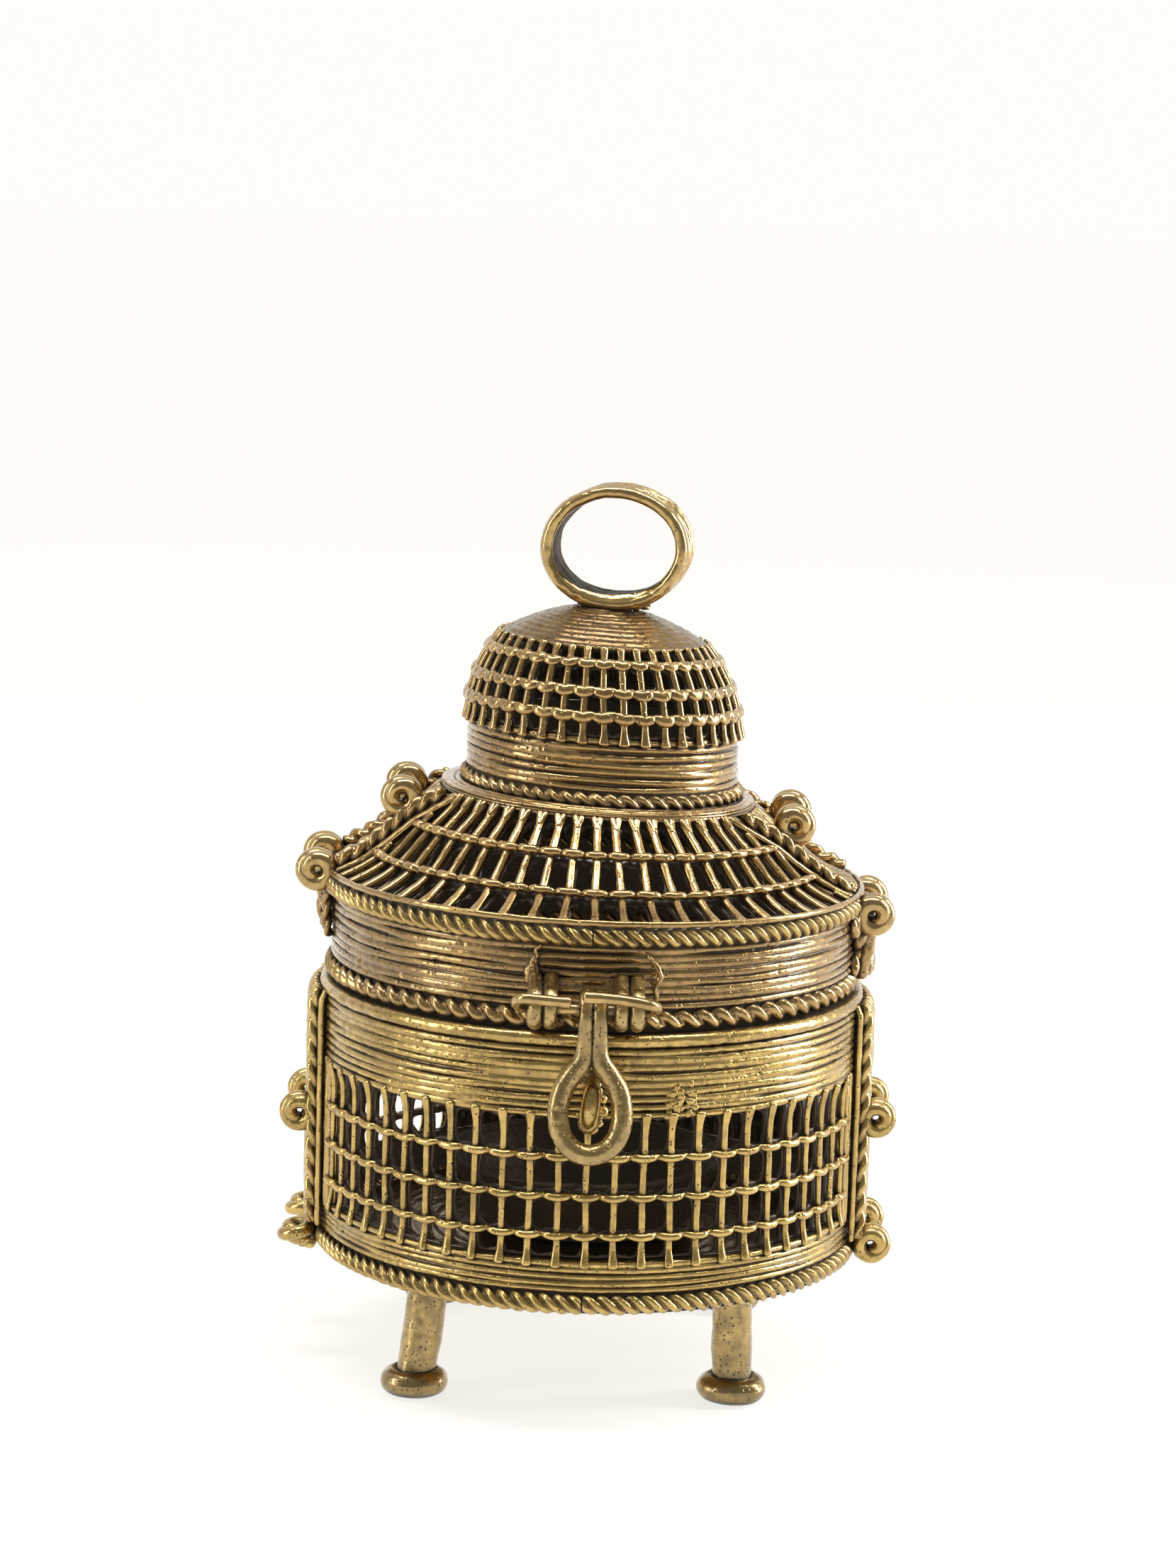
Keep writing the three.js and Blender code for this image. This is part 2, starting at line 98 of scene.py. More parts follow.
def noise(points, size, seed=0):
    """Smooth noise from -1 to 1, with lumps about size millimetres across."""
    p = np.asarray(points, float).reshape(-1, 3) / size
    cell = np.floor(p).astype(np.int64)
    f = p - cell
    f = f * f * (3 - 2 * f)
    total = np.zeros(len(p))
    for corner in range(8):
        far = [(corner >> k) & 1 for k in range(3)]
        weight = np.ones(len(p))
        for k in range(3):
            weight *= f[:, k] if far[k] else 1 - f[:, k]
        total += weight * hashed(*(cell[:, k] + far[k] for k in range(3)), seed)
    return total.reshape(np.shape(points)[:-1])


def wave(values, size, seed=0):
    """Smooth noise along one number."""
    return noise(np.asarray(values, float)[..., None] * [1, 0, 0], size, seed)


def step(low, high, x):
    """0 up to low, 1 from high on, and smooth between them."""
    t = np.clip((x - low) / (high - low), 0, 1)
    return t * t * (3 - 2 * t)


def bump(x, middle, width):
    """1 at the middle, and falling away smoothly on both sides of it."""
    return np.exp(-((x - middle) / width) ** 2)


def full_turn(count, end=2 * np.pi):
    return np.linspace(0, end, count, endpoint=False)


def around(angle, radius, z):
    a = np.radians(angle)
    return np.stack(np.broadcast_arrays(radius * np.sin(a), -radius * np.cos(a), z), -1)


def unit(v):
    """Vectors of the same direction with length 1."""
    return v / np.maximum(np.linalg.norm(v, axis=-1, keepdims=True), 1e-12)


def circle(angles, radius):
    """Points for noise that closes on itself round a circle."""
    a = np.radians(angles)
    return np.stack([np.cos(a), np.sin(a), 0 * a], -1) * radius


def outward(path):
    """The level direction away from the axis at each point."""
    return unit(path * [1, 1, 0])


def lengths(path):
    """The length along the path up to each of its points."""
    return np.concatenate([[0], np.cumsum(np.linalg.norm(np.diff(path, axis=0), axis=1))])


def along(at, s, values):
    """values, known at s, worked out at other lengths along the same path."""
    return np.stack([np.interp(at, s, values[:, k]) for k in range(values.shape[1])], -1)


def resample(path, at):
    return along(at, lengths(path), path)


def spline(points, count):
    """A smooth curve through the points, evenly spaced."""
    p = np.asarray(points, float)
    p = np.concatenate([[2 * p[0] - p[1]], p, [2 * p[-1] - p[-2]]])
    t = np.linspace(0, 1, 24, endpoint=False)[:, None]
    fine = [0.5 * (2 * b + (c - a) * t + (2 * a - 5 * b + 4 * c - d) * t**2
                   + (3 * b - a - 3 * c + d) * t**3)
            for a, b, c, d in zip(p, p[1:], p[2:], p[3:])]
    fine = np.concatenate(fine + [p[-2:-1]])
    return resample(fine, np.linspace(0, lengths(fine)[-1], count))


# ---- meshes ----


def placed(name, data):
    """A new object in the scene."""
    made = bpy.data.objects.new(name, data)
    bpy.context.scene.collection.objects.link(made)
    return made


class Piece:
    """Points and faces of what stands for one CAD node, gathered part by part."""

    def __init__(self, name, look=None):
        self.name, self.look = name, look
        self.points, self.faces, self.kinds, self.count = [], [], [], 0

    def add(self, points, faces, kind=0):
        """faces is a list of arrays of three or four corners. A closed part is turned to face
        out. kind is one material index, or one for each face."""
        points = np.asarray(points, float).reshape(-1, 3)
        volume = 0.0
        for f in faces:
            for k in range(1, f.shape[1] - 1):
                a, b, c = points[f[:, 0]], points[f[:, k]], points[f[:, k + 1]]
                volume += np.einsum("ij,ij->", a, np.cross(b, c))
        for f in faces:
            f = f[:, ::-1] if volume < 0 else f
            self.faces.append(f + self.count)
            self.kinds.append(np.broadcast_to(kind, len(f)))
        self.points.append(points)
        self.count += len(points)

    def turn(self, degrees, axis, centre):
        """Turns the points about the origin, then moves the origin to centre."""
        matrix = np.array(Matrix.Rotation(math.radians(degrees), 3, axis))
        self.points = [points @ matrix.T + centre for points in self.points]

    def mesh(self):
        mesh = bpy.data.meshes.new(self.name + "_cast")
        points = np.concatenate(self.points) * MM
        corners = np.concatenate([f.ravel() for f in self.faces])
        sizes = np.concatenate([np.full(len(f), f.shape[1]) for f in self.faces])
        mesh.vertices.add(len(points))
        mesh.vertices.foreach_set("co", points.astype(np.float32).ravel())
        mesh.loops.add(len(corners))
        mesh.loops.foreach_set("vertex_index", corners.astype(np.int32))
        mesh.polygons.add(len(sizes))
        starts = np.concatenate([[0], np.cumsum(sizes)[:-1]])
        mesh.polygons.foreach_set("loop_start", starts.astype(np.int32))
        mesh.polygons.foreach_set("material_index", np.concatenate(self.kinds).astype(np.int32))
        mesh.update(calc_edges=True)
        mesh.validate()
        mesh.shade_smooth()
        return mesh

    def finish(self):
        """Makes the object that takes the CAD node's place and rides with its body."""
        if self.name.startswith(LEANING):
            for points in self.points:
                tip(points)
        made = placed(self.name + "_cast", self.mesh())
        slot = SLOT_OF[self.name]
        for material in (self.look or SLOT_LOOKS[slot], SOOT_AND_SHADE, COPPERY):
            made.data.materials.append(material)
        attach(made, BODY_OF[self.name])
        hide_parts(self.name)


def grid_faces(rows, cols, close_rows, close_cols):
    """Quads between neighbours of a grid of points, which may close on itself either way."""
    i = np.arange(rows if close_rows else rows - 1)[:, None]
    j = np.arange(cols if close_cols else cols - 1)[None, :]
    a, b = i * cols, ((i + 1) % rows) * cols
    k = (j + 1) % cols
    return np.stack([a + j, a + k, b + k, b + j], -1).reshape(-1, 4)


def end_fans(rows, cols):
    """Triangles that close both ends of a grid on two more points, added after its own."""
    j = np.arange(cols)
    k = (j + 1) % cols
    first, end = rows * cols, (rows - 1) * cols
    return [np.stack([np.full(cols, first), k, j], -1),
            np.stack([np.full(cols, first + 1), end + j, end + k], -1)]


def grid_normals(p, close_rows, close_cols):
    def slope(axis, closed):
        if closed:
            return np.roll(p, -1, axis) - np.roll(p, 1, axis)
        return np.gradient(p, axis=axis)

    return unit(np.cross(slope(0, close_rows), slope(1, close_cols)))


def roughen(p, close_rows=True, close_cols=True, lumps=0.05, size=2.5, pits=0.0, seed=0):
    """Moves a grid's points along its normals: low lumps, and small pits here and there."""
    move = lumps * noise(p, size, seed) + 0.4 * lumps * noise(p, size * 0.4, seed + 1)
    if pits:
        deep = step(0.35, 0.75, noise(p, 0.75, seed + 2)) * step(-0.1, 0.5, noise(p, 6, seed + 3))
        move = move - pits * deep
    normals = grid_normals(p, close_rows, close_cols)
    centre = p.mean(axis=1, keepdims=True)
    facing = np.sign(np.einsum("ijk,ijk->", normals, p - centre))
    return p + normals * (facing * move)[..., None]


def skin(lumps, size, pits=0.0, seed=0):
    """How rough a surface is: its lumps' height and size, and its pits' depth."""
    return dict(lumps=lumps, size=size, pits=pits, seed=seed)


def frames(path, closed, out=None):
    """Normal and side direction at each point of a path."""
    if closed:
        tangent = unit(np.roll(path, -1, 0) - np.roll(path, 1, 0))
    else:
        tangent = unit(np.gradient(path, axis=0))
    if out is None:
        normal = np.zeros_like(path)
        n = np.eye(3)[np.argmin(np.abs(tangent[0]))]
        for i, t in enumerate(tangent):
            n = n - (n @ t) * t
            n = n / np.linalg.norm(n)
            normal[i] = n
    else:
        out = np.broadcast_to(out, path.shape)
        normal = unit(out - np.sum(out * tangent, -1, keepdims=True) * tangent)
    return normal, np.cross(tangent, normal)


def sweep(piece, path, section, closed=False, out=None, kind=0, rough=None):
    """A section carried along a path. section is (points on the path, points round it, 2), in
    the normal and the side direction. An open sweep ends in a point, so its ends should narrow."""
    normal, side = frames(path, closed, out)
    p = path[:, None] + section[..., :1] * normal[:, None] + section[..., 1:] * side[:, None]
    if rough:
        p = roughen(p, closed, True, **rough)
    rows, cols = p.shape[:2]
    faces = [grid_faces(rows, cols, closed, True)]
    points = p.reshape(-1, 3)
    if not closed:
        points = np.concatenate([points, path[:1], path[-1:]])
        faces += end_fans(rows, cols)
    piece.add(points, faces, kind)


def rounded(path, radius, count, blunt=0.9):
    """A path's points, and the share of the full section at each, so that both ends are round."""
    length = lengths(path)[-1]
    reach = min(blunt * radius, 0.45 * length)
    turn = np.radians([14, 34, 56, 75])
    cap = reach * (1 - np.cos(turn))
    at = np.concatenate([cap, np.linspace(reach, length - reach, count), length - cap[::-1]])
    share = np.concatenate([np.sin(turn), np.ones(count), np.sin(turn)[::-1]])
    return resample(path, at), share, at


def wire(piece, path, radius, sides=12, count=None, closed=False, out=None, flat=1.0, rough=None,
         blunt=0.9):
    """A round or flattened wire. radius may vary along the path; flat is its thickness along
    out, as a share of its width."""
    radius = np.broadcast_to(radius, len(path))
    s = lengths(path)
    if closed:
        share, at, line = 1.0, s, path
    else:
        count = count or max(4, int(s[-1] / (0.8 * radius.mean())))
        line, share, at = rounded(path, radius.mean(), count, blunt)
        if out is not None and np.ndim(out) == 2:
            out = along(at, s, out)
    r = np.interp(at, s, radius) * share
    flat = np.interp(at, s, np.broadcast_to(flat, len(s)))
    a = full_turn(sides)
    section = np.stack([(r * flat)[:, None] * np.cos(a), r[:, None] * np.sin(a)], -1)
    sweep(piece, line, section, closed, out, rough=rough)


STRANDS = {2: (0.37, 0.63), 3: (0.50, 0.50)}  # where each strand runs and its radius, as shares
ROPE_SIDES = 30
RINGS_PER_LOBE = 9


def rope(piece, path, radius, lobes, closed=False, out=None, flat=1.0, rough=None, hand=1,
         strands=2):
    """A rope of twisted strands along a path, with this many lobes along it."""
    count = lobes * RINGS_PER_LOBE
    if closed:
        path = np.concatenate([path, path[:1]])
        at = np.linspace(0, lengths(path)[-1], count, endpoint=False)
        line, share = resample(path, at), np.ones(count)
        out = outward(line)
    else:
        line, share, at = rounded(path, radius, count)
        out = along(at, lengths(path), out)
    a = full_turn(ROPE_SIDES)
    turned_by = [a - c for c in full_turn(strands)]
    place, own = STRANDS[strands]
    polar = np.max([
        place * np.cos(b) + np.sqrt(np.maximum(own**2 - (place * np.sin(b)) ** 2, 0))
        for b in turned_by
    ], axis=0)
    spin = hand * 2 * np.pi * lobes / strands * at / lengths(path)[-1]
    angle = a[None] + spin[:, None]
    uneven = 1 + 0.05 * wave(at, 3.0 * radius, 7)
    r = radius * (share * uneven)[:, None] * polar[None]
    section = np.stack([flat * r * np.cos(angle), r * np.sin(angle)], -1)
    sweep(piece, line, section, closed, out, rough=rough)


def turned(piece, outline, segments, centre=0.0, kind=0, uneven=None, rough=None, solid=False):
    """An outline turned about Z. It is closed, or, when solid, its two ends meet the axis.
    uneven(angles, outline) gives each angle's own outline."""
    angles = full_turn(segments, 360)
    outline = np.asarray(outline, float)
    r, z = uneven(angles, outline) if uneven else outline.T
    p = around(angles[:, None], r, z)
    if rough:
        p = roughen(p, True, not solid, **rough)
    p[..., 0] += centre
    rows, cols = p.shape[:2]
    faces = [grid_faces(rows, cols, True, not solid)]
    points = p.reshape(-1, 3)
    if solid:
        ends = [[centre, 0, p[:, 0, 2].mean()], [centre, 0, p[:, -1, 2].mean()]]
        points = np.concatenate([points, ends])
        i = np.arange(rows) * cols
        k = np.roll(i, -1)
        faces.append(np.stack([np.full(rows, rows * cols), i, k], -1))
        faces.append(np.stack([np.full(rows, rows * cols + 1), k + cols - 1, i + cols - 1], -1))
    piece.add(points, faces, kind)


def arc(centre, radius, start, end, count):
    """Outline points round part of a circle; angles in degrees from outwards to up."""
    a = np.radians(np.linspace(start, end, count))
    return [(centre[0] + radius * math.cos(t), centre[1] + radius * math.sin(t)) for t in a]


WIRE_POINTS = 9  # points up the face of each wound wire
GROOVE = 1.35  # how much deeper than round the grooves between them are
WANDER = 0.22  # how far a wire strays up or down, as a share of its pitch


def wound(piece, radius, inner, low, high, wires, segments=900, centre=0.0, seed=0, pits=0.1):
    """A band of wires wound one above another, each with its own wander and gauge."""
    pitch = (high - low) / wires
    angles = full_turn(segments, 360)
    columns_r, columns_z = [], []

    def uneven(apart, size, offset=0):
        return noise(circle(angles, radius) + [0, 0, apart], size, seed + offset)

    grooves = [0.25 + 0.75 * step(-0.45, 0.35, uneven(41.0 * i, 13.0, 3)) for i in range(wires + 1)]
    for i in range(wires):
        lift = WANDER * pitch * uneven(31.0 * i, 14.0) * (0 < i < wires - 1)
        bulge = 0.12 * uneven(17.0 * i, 9.0, 5)
        half = pitch / 2 * (1 + 0.1 * uneven(23.0 * i, 11.0, 9))
        for t in np.radians(np.linspace(-80, 80, WIRE_POINTS)):
            groove = grooves[i + (t > 0)] if 0 < i + (t > 0) < wires else 1.0
            sunk = GROOVE * groove * pitch / 2 * (1 - math.cos(t))
            columns_z.append(low + (i + 0.5) * pitch + lift + half * math.sin(t))
            columns_r.append(radius + bulge - 0.1 - sunk)
    for z in np.linspace(high, low, 5):
        columns_z.append(np.full(segments, z))
        columns_r.append(inner + 0.1 * uneven(z, 5.0))
    r, z = np.stack(columns_r, -1), np.stack(columns_z, -1)
    p = around(angles[:, None], r, z)
    p = roughen(p, lumps=0.05, size=1.6, pits=pits, seed=seed)
    p[..., 0] += centre
    kinds = np.zeros(r.shape[1], int)
    kinds[wires * WIRE_POINTS:] = DARK
    piece.add(p, [grid_faces(segments, r.shape[1], True, True)], np.tile(kinds, segments))


def thicken(piece, outer, inner, faces, kind=0):
    """A closed sheet from its two faces, which share their faces' corners."""
    count = len(outer)
    edges = np.stack([faces, np.roll(faces, -1, axis=1)], -1).reshape(-1, 2)
    key = np.sort(edges, axis=1)
    _, index, uses = np.unique(key, axis=0, return_index=True, return_counts=True)
    rim = edges[index[uses == 1]]
    walls = np.stack([rim[:, 1], rim[:, 0], rim[:, 0] + count, rim[:, 1] + count], -1)
    piece.add(np.concatenate([outer, inner]), [faces, faces[:, ::-1] + count, walls], kind)


def panel(piece, surface, angles, ts, depths, rough, seed):
    """A solid stretch of a turned wall between two depths under surface(angle, t, depth)."""
    a, t = np.meshgrid(angles, ts, indexing="ij")
    outer, inner = (surface(a, t, d).reshape(-1, 3) for d in depths)
    outer = outer + rough * noise(outer, 1.2, seed)[:, None] * outward(outer)
    thicken(piece, outer, inner, grid_faces(len(angles), len(ts), False, False))


HOLE_POINTS = 28


def web(piece, surface, angles, rows, depths, hole, ragged, closed, seed, squareness=3.5):
    """A thin wall with one rounded, ragged hole to each cell of a grid of angles and rows,
    apart from those cells that closed(i, j) says were never opened. hole is half its size, as
    shares of the cell."""
    a = full_turn(HOLE_POINTS) + np.pi / HOLE_POINTS
    ray = np.stack([np.cos(a), np.sin(a)], -1)
    border = 0.5 * ray / np.abs(ray).max(1, keepdims=True)
    corner = (np.abs(ray) ** squareness).sum(1, keepdims=True) ** (-1 / squareness)
    uv, cells = [], []
    for i in range(len(angles) - 1):
        for j in range(len(rows) - 1):
            shift = wave(np.arange(HOLE_POINTS) * 1.0, 2.2, seed + 13 * i + 101 * j)
            ends = np.minimum(np.arange(HOLE_POINTS), HOLE_POINTS - 1 - np.arange(HOLE_POINTS))
            shift = shift * np.minimum(ends / 3.0, 1)
            size = np.array(hole) * (1 + ragged * shift[:, None])
            opening = np.clip(ray * corner * size, -0.46, 0.46)
            for ring in (border, (border + opening) / 2, opening):
                u = angles[i] + (ring[:, 0] + 0.5) * (angles[i + 1] - angles[i])
                v = rows[j] + (ring[:, 1] + 0.5) * (rows[j + 1] - rows[j])
                uv.append(np.stack([u, v], -1))
            base = 3 * HOLE_POINTS * (i * (len(rows) - 1) + j)
            cells.append(base + grid_faces(3, HOLE_POINTS, False, True))
            if closed(i, j):
                ring = base + 2 * HOLE_POINTS + np.arange(HOLE_POINTS)
                near, far = ring[:HOLE_POINTS // 2], ring[:HOLE_POINTS // 2 - 1:-1]
                cells.append(np.stack([far[:-1], far[1:], near[1:], near[:-1]], -1))
    uv, faces = np.concatenate(uv), np.concatenate(cells)
    _, first, same = np.unique(np.round(uv, 4), axis=0, return_index=True, return_inverse=True)
    uv, faces = uv[first], same.reshape(-1)[faces]
    faces = faces[:, ::-1]
    outer, inner = (surface(uv[:, 0], uv[:, 1], d) for d in depths)
    lump = 0.12 * noise(outer, 1.4, seed)[:, None] * outward(outer)
    thicken(piece, outer + lump, inner + lump, faces, WEB)


# ---- materials ----


def fill(made, **values):
    """Sets a node's own sockets: Coat Weight by coat_weight, and so on."""
    for name, value in values.items():
        made.inputs[name.replace("_", " ").title()].default_value = value
    return made


def ramp(tree, value, *stops):
    """A curve as a colour ramp: stops are (place, grey)."""
    made = tree.nodes.new("ShaderNodeValToRGB")
    elements = made.color_ramp.elements
    while len(elements) < len(stops):
        elements.new(0.5)
    for element, (place, grey) in zip(elements, stops):
        element.position = place
        element.color = (grey, grey, grey, 1)
    tree.links.new(value, made.inputs["Fac"])
    return made.outputs["Color"]


def blend(tree, factor, a, b, mode="MIX"):
    made = tree.nodes.new("ShaderNodeMix")
    made.data_type = "RGBA"
    made.blend_type = mode
    made.clamp_factor = True
    for name, value in (("Factor", factor), ("A", a), ("B", b)):
        kind = "VALUE" if name == "Factor" else "RGBA"
        socket = next(s for s in made.inputs if s.name == name and s.type == kind)
        if isinstance(value, bpy.types.NodeSocket):
            tree.links.new(value, socket)
        elif kind == "VALUE":
            socket.default_value = value
        else:
            socket.default_value = (*value, 1)
    return next(s for s in made.outputs if s.type == "RGBA")


def maths(tree, operation, *values):
    made = tree.nodes.new("ShaderNodeMath")
    made.operation = operation
    for socket, value in zip(made.inputs, values):
        if isinstance(value, bpy.types.NodeSocket):
            tree.links.new(value, socket)
        else:
            socket.default_value = value
    return made.outputs["Value"]


def texture(tree, kind, coords, **values):
    made = fill(tree.nodes.new(kind), **values)
    tree.links.new(coords, made.inputs["Vector"])
    return made


def new_material(name):
    material = bpy.data.materials.new(name)
    material.use_nodes = True
    return material, material.node_tree, material.node_tree.nodes["Principled BSDF"]


def brass(name, bright, dull, grime_and_shade, rough=(0.24, 0.5), pits=0.5, crevice=0.0018, grain=1.0,
          worn=0.5, coat=0.85, painted_glow=0.0):
    """Old cast brass: bright metal on what is rubbed, duller metal elsewhere, and dark dirt in
    mottled patches and the small casting pits. The hollows that ambient occlusion finds are
    darkened too: painted shade, partly dirt. A faint warm emission lifts the darkest looks: painted
    light."""
    material, tree, shader = new_material(name)
    link = tree.links.new
    coords = tree.nodes.new("ShaderNodeTexCoord").outputs["Object"]
    clouds = texture(tree, "ShaderNodeTexNoise", coords, scale=75, detail=3.0).outputs["Fac"]
    mottle = texture(tree, "ShaderNodeTexNoise", coords, scale=520, detail=4.0).outputs["Fac"]
    fine = texture(tree, "ShaderNodeTexNoise", coords, scale=2600, detail=2.0).outputs["Fac"]
    cells = texture(tree, "ShaderNodeTexVoronoi", coords, scale=1150).outputs["Distance"]
    patches = texture(tree, "ShaderNodeTexNoise", coords, scale=230, detail=2.0).outputs["Fac"]

    # painted shade: ambient occlusion finds the hollows, and their colour is darkened below, partly
    # dirt and partly shade
    hollow = fill(tree.nodes.new("ShaderNodeAmbientOcclusion"), distance=crevice)
    hollow.samples = 6
    shade = maths(tree, "ADD", hollow.outputs["AO"], maths(tree, "MULTIPLY", mottle, 0.3))
    clean_unshaded = ramp(tree, shade, (0.62, 0.0), (1.0, 1.0))
    point = tree.nodes.new("ShaderNodeNewGeometry").outputs["Pointiness"]
    rubbed = ramp(tree, point, (0.5, 0.0), (0.56, 1.0))
    pit = maths(tree, "MULTIPLY", ramp(tree, cells, (0.12, 1.0), (0.3, 0.0)),
                ramp(tree, patches, (0.62 - 0.2 * pits, 0.0), (0.7 - 0.2 * pits, 1.0)))

    tone = blend(tree, ramp(tree, clouds, (0.38, 0.0), (0.62, 1.0)), bright, dull)
    tone = blend(tree, ramp(tree, mottle, (0.35, 0.0), (0.7, 0.55)), tone, grime_and_shade)
    tone = blend(tree, maths(tree, "MULTIPLY", rubbed, worn), tone, bright)
    # painted shade: the hollows go to the dark colour, partly dirt and partly shade
    tone = blend(tree, clean_unshaded, grime_and_shade, tone)
    tone = blend(tree, maths(tree, "MULTIPLY", pit, 0.85), tone, tuple(0.35 * c for c in grime_and_shade))
    link(tone, shader.inputs["Base Color"])

    link(maths(tree, "MULTIPLY_ADD", clean_unshaded, 0.6, 0.4), shader.inputs["Metallic"])
    gloss = blend(tree, ramp(tree, mottle, (0.3, 0.0), (0.75, 1.0)),
                  (rough[0],) * 3, (rough[1],) * 3)
    gloss = blend(tree, clean_unshaded, (0.75,) * 3, gloss)
    link(gloss, shader.inputs["Roughness"])

    height = maths(tree, "MULTIPLY", fine, 0.35 * grain)
    height = maths(tree, "ADD", height, maths(tree, "MULTIPLY", mottle, grain))
    height = maths(tree, "SUBTRACT", height, maths(tree, "MULTIPLY", pit, 1.3))
    # painted light: a faint warm emission lifts the darkest looks, the web and the soot
    fill(shader, coat_weight=coat, coat_roughness=0.17, emission_color=(1, 0.78, 0.5, 1),
         emission_strength=painted_glow)
    bump = fill(tree.nodes.new("ShaderNodeBump"), strength=0.55, distance=0.00016)
    link(height, bump.inputs["Height"])
    link(bump.outputs["Normal"], shader.inputs["Normal"])
    return material


YELLOW = brass("yellow_brass", (0.64, 0.44, 0.135), (0.42, 0.28, 0.08), (0.05, 0.032, 0.014),
               rough=(0.15, 0.38), pits=0.75, coat=0.6)
BROWN = brass("brown_brass", (0.49, 0.31, 0.10), (0.27, 0.16, 0.052), (0.04, 0.025, 0.014),
              rough=(0.14, 0.34), pits=0.7, worn=0.8, grain=0.55)
RUDDY = brass("ruddy_brass", (0.42, 0.265, 0.085), (0.22, 0.125, 0.04), (0.035, 0.02, 0.011),
              rough=(0.15, 0.38), pits=1.0, worn=0.9)
DULL = brass("dull_brass", (0.27, 0.165, 0.055), (0.17, 0.10, 0.038), (0.04, 0.025, 0.014),
             rough=(0.2, 0.42), pits=0.9, worn=0.6, coat=0.3)
POLISHED = brass("polished_brass", (0.56, 0.38, 0.13), (0.40, 0.26, 0.09), (0.08, 0.045, 0.018),
                 rough=(0.14, 0.28), pits=0.3, grain=0.5, crevice=0.0014)
OLIVE = brass("olive_brass", (0.50, 0.345, 0.12), (0.30, 0.205, 0.075), (0.035, 0.026, 0.013),
              rough=(0.2, 0.42), pits=1.15, worn=0.6)
# The web and the soot give off a faint emission, painted light. Where the soot look lies on the
# inside of the ring and behind the ropes, it is painted shade.
COPPERY = brass("coppery_web", (0.16, 0.095, 0.055), (0.08, 0.052, 0.034), (0.03, 0.021, 0.016),
                rough=(0.35, 0.7), pits=1.0, crevice=0.003, worn=0.2, coat=0.3, painted_glow=0.006)
SOOT_AND_SHADE = brass("soot_and_shade_brass", (0.07, 0.05, 0.034), (0.045, 0.033, 0.022), (0.02, 0.015, 0.01),
             rough=(0.5, 0.8), pits=0.8, crevice=0.004, worn=0.2, coat=0.0, painted_glow=0.010)
SLOT_LOOKS = {"yellow_brass": YELLOW, "brown_brass": BROWN, "polished_brass": POLISHED,
              "darkened_brass": SOOT_AND_SHADE}
SLOT_OF = {s["node"]: s["material_slot"] for s in frame["record"]["subparts"]}
BODY_OF = {n: b for b, nodes in frame["record"]["behaviour"]["bodies"].items() for n in nodes}


# what the crooked lid carries with it, by the start of the name
LEANING = ("lid_band", "shoulder_rope", "openwork_cone", "ridge_rope", "cone_collar", "dome_",
           "openwork_dome")
TIP_HEIGHTS, TIP_SLOPES = (78, 92, 109), (0, 0.012, 0.045)  # slopes across X at those heights


def tip(points):
    """Above its band the lid was laid a little crooked, lower to the right."""
    points[:, 2] -= np.interp(points[:, 2], TIP_HEIGHTS, TIP_SLOPES) * points[:, 0]


# ---- surfaces that lattices are laid on ----


PAST = 3.0  # how far a surface goes on past both ends of its outline


def profile_surface(outline, centre=0.0, drift=0.0):
    """surface(angle, t, depth): t runs from 0 to the outline's length in millimetres. drift is
    how far its axis moves in X on the way up."""
    past = PAST * unit(outline[[1, -1]] - outline[[0, -2]])
    line = np.concatenate([[outline[0] - past[0]], outline, [outline[-1] + past[1]]])
    s = lengths(line) - PAST
    slope = unit(np.gradient(line, axis=0))

    def at(angle, t, depth):
        r = np.interp(t, s, line[:, 0]) - depth * np.interp(t, s, slope[:, 1])
        z = np.interp(t, s, line[:, 1]) + depth * np.interp(t, s, slope[:, 0])
        places = around(angle, r, z)
        places[..., 0] += centre + drift * np.clip(t / s[-1], 0, 1)
        return places

    return at


def laid(surface, angle, t, depth):
    """A path on a surface, and the direction out of it."""
    path = surface(angle, t, depth)
    return path, unit(path - surface(angle, t, depth + 1.0))


def smooth_outline(points, count):
    """A smooth curve through the corners of an outline."""
    return spline(np.column_stack([points, np.zeros(len(points))]), count)[:, :2]


def ring_path(radius, z, start=0.0, end=360.0):
    """Points about 0.45 mm apart along a level circle, or part of one."""
    count = int(math.radians(end - start) * radius / 0.45)
    return around(np.linspace(start, end, count, endpoint=end - start < 360), radius, z)


WOVEN_POINTS = 14  # from one bar to the next


def woven(piece, surface, t, start, pitch, first, last, radius, lift, dip, seed, sag=0.14,
          flat=0.9, closed=False):
    """A wire that runs over every bar and dips between them. The bars stand at
    start + i * pitch."""
    index = np.arange(first * WOVEN_POINTS, last * WOVEN_POINTS + (not closed)) / WOVEN_POINTS
    angle = start + index * pitch
    phase = index - np.round(index)
    between = bump(np.abs(phase), 0.5, 0.15)
    level = 0.12 * wave(index, 2.3, seed)
    slant = 0.25 * wave(np.round(index), 1.0, seed + 1) * phase
    height = t + level + slant - sag * np.cos(2 * np.pi * phase)
    depth = -lift + dip * between + 0.1 * wave(index, 1.7, seed + 2)
    gauge = radius * (1 + 0.1 * wave(index, 0.8, seed + 3) - 0.22 * between)
    path, out = laid(surface, angle, height, depth)
    wire(piece, path, gauge, count=len(path), closed=closed, out=out, flat=flat,
         rough=skin(0.04, 1.3, 0.07, seed))


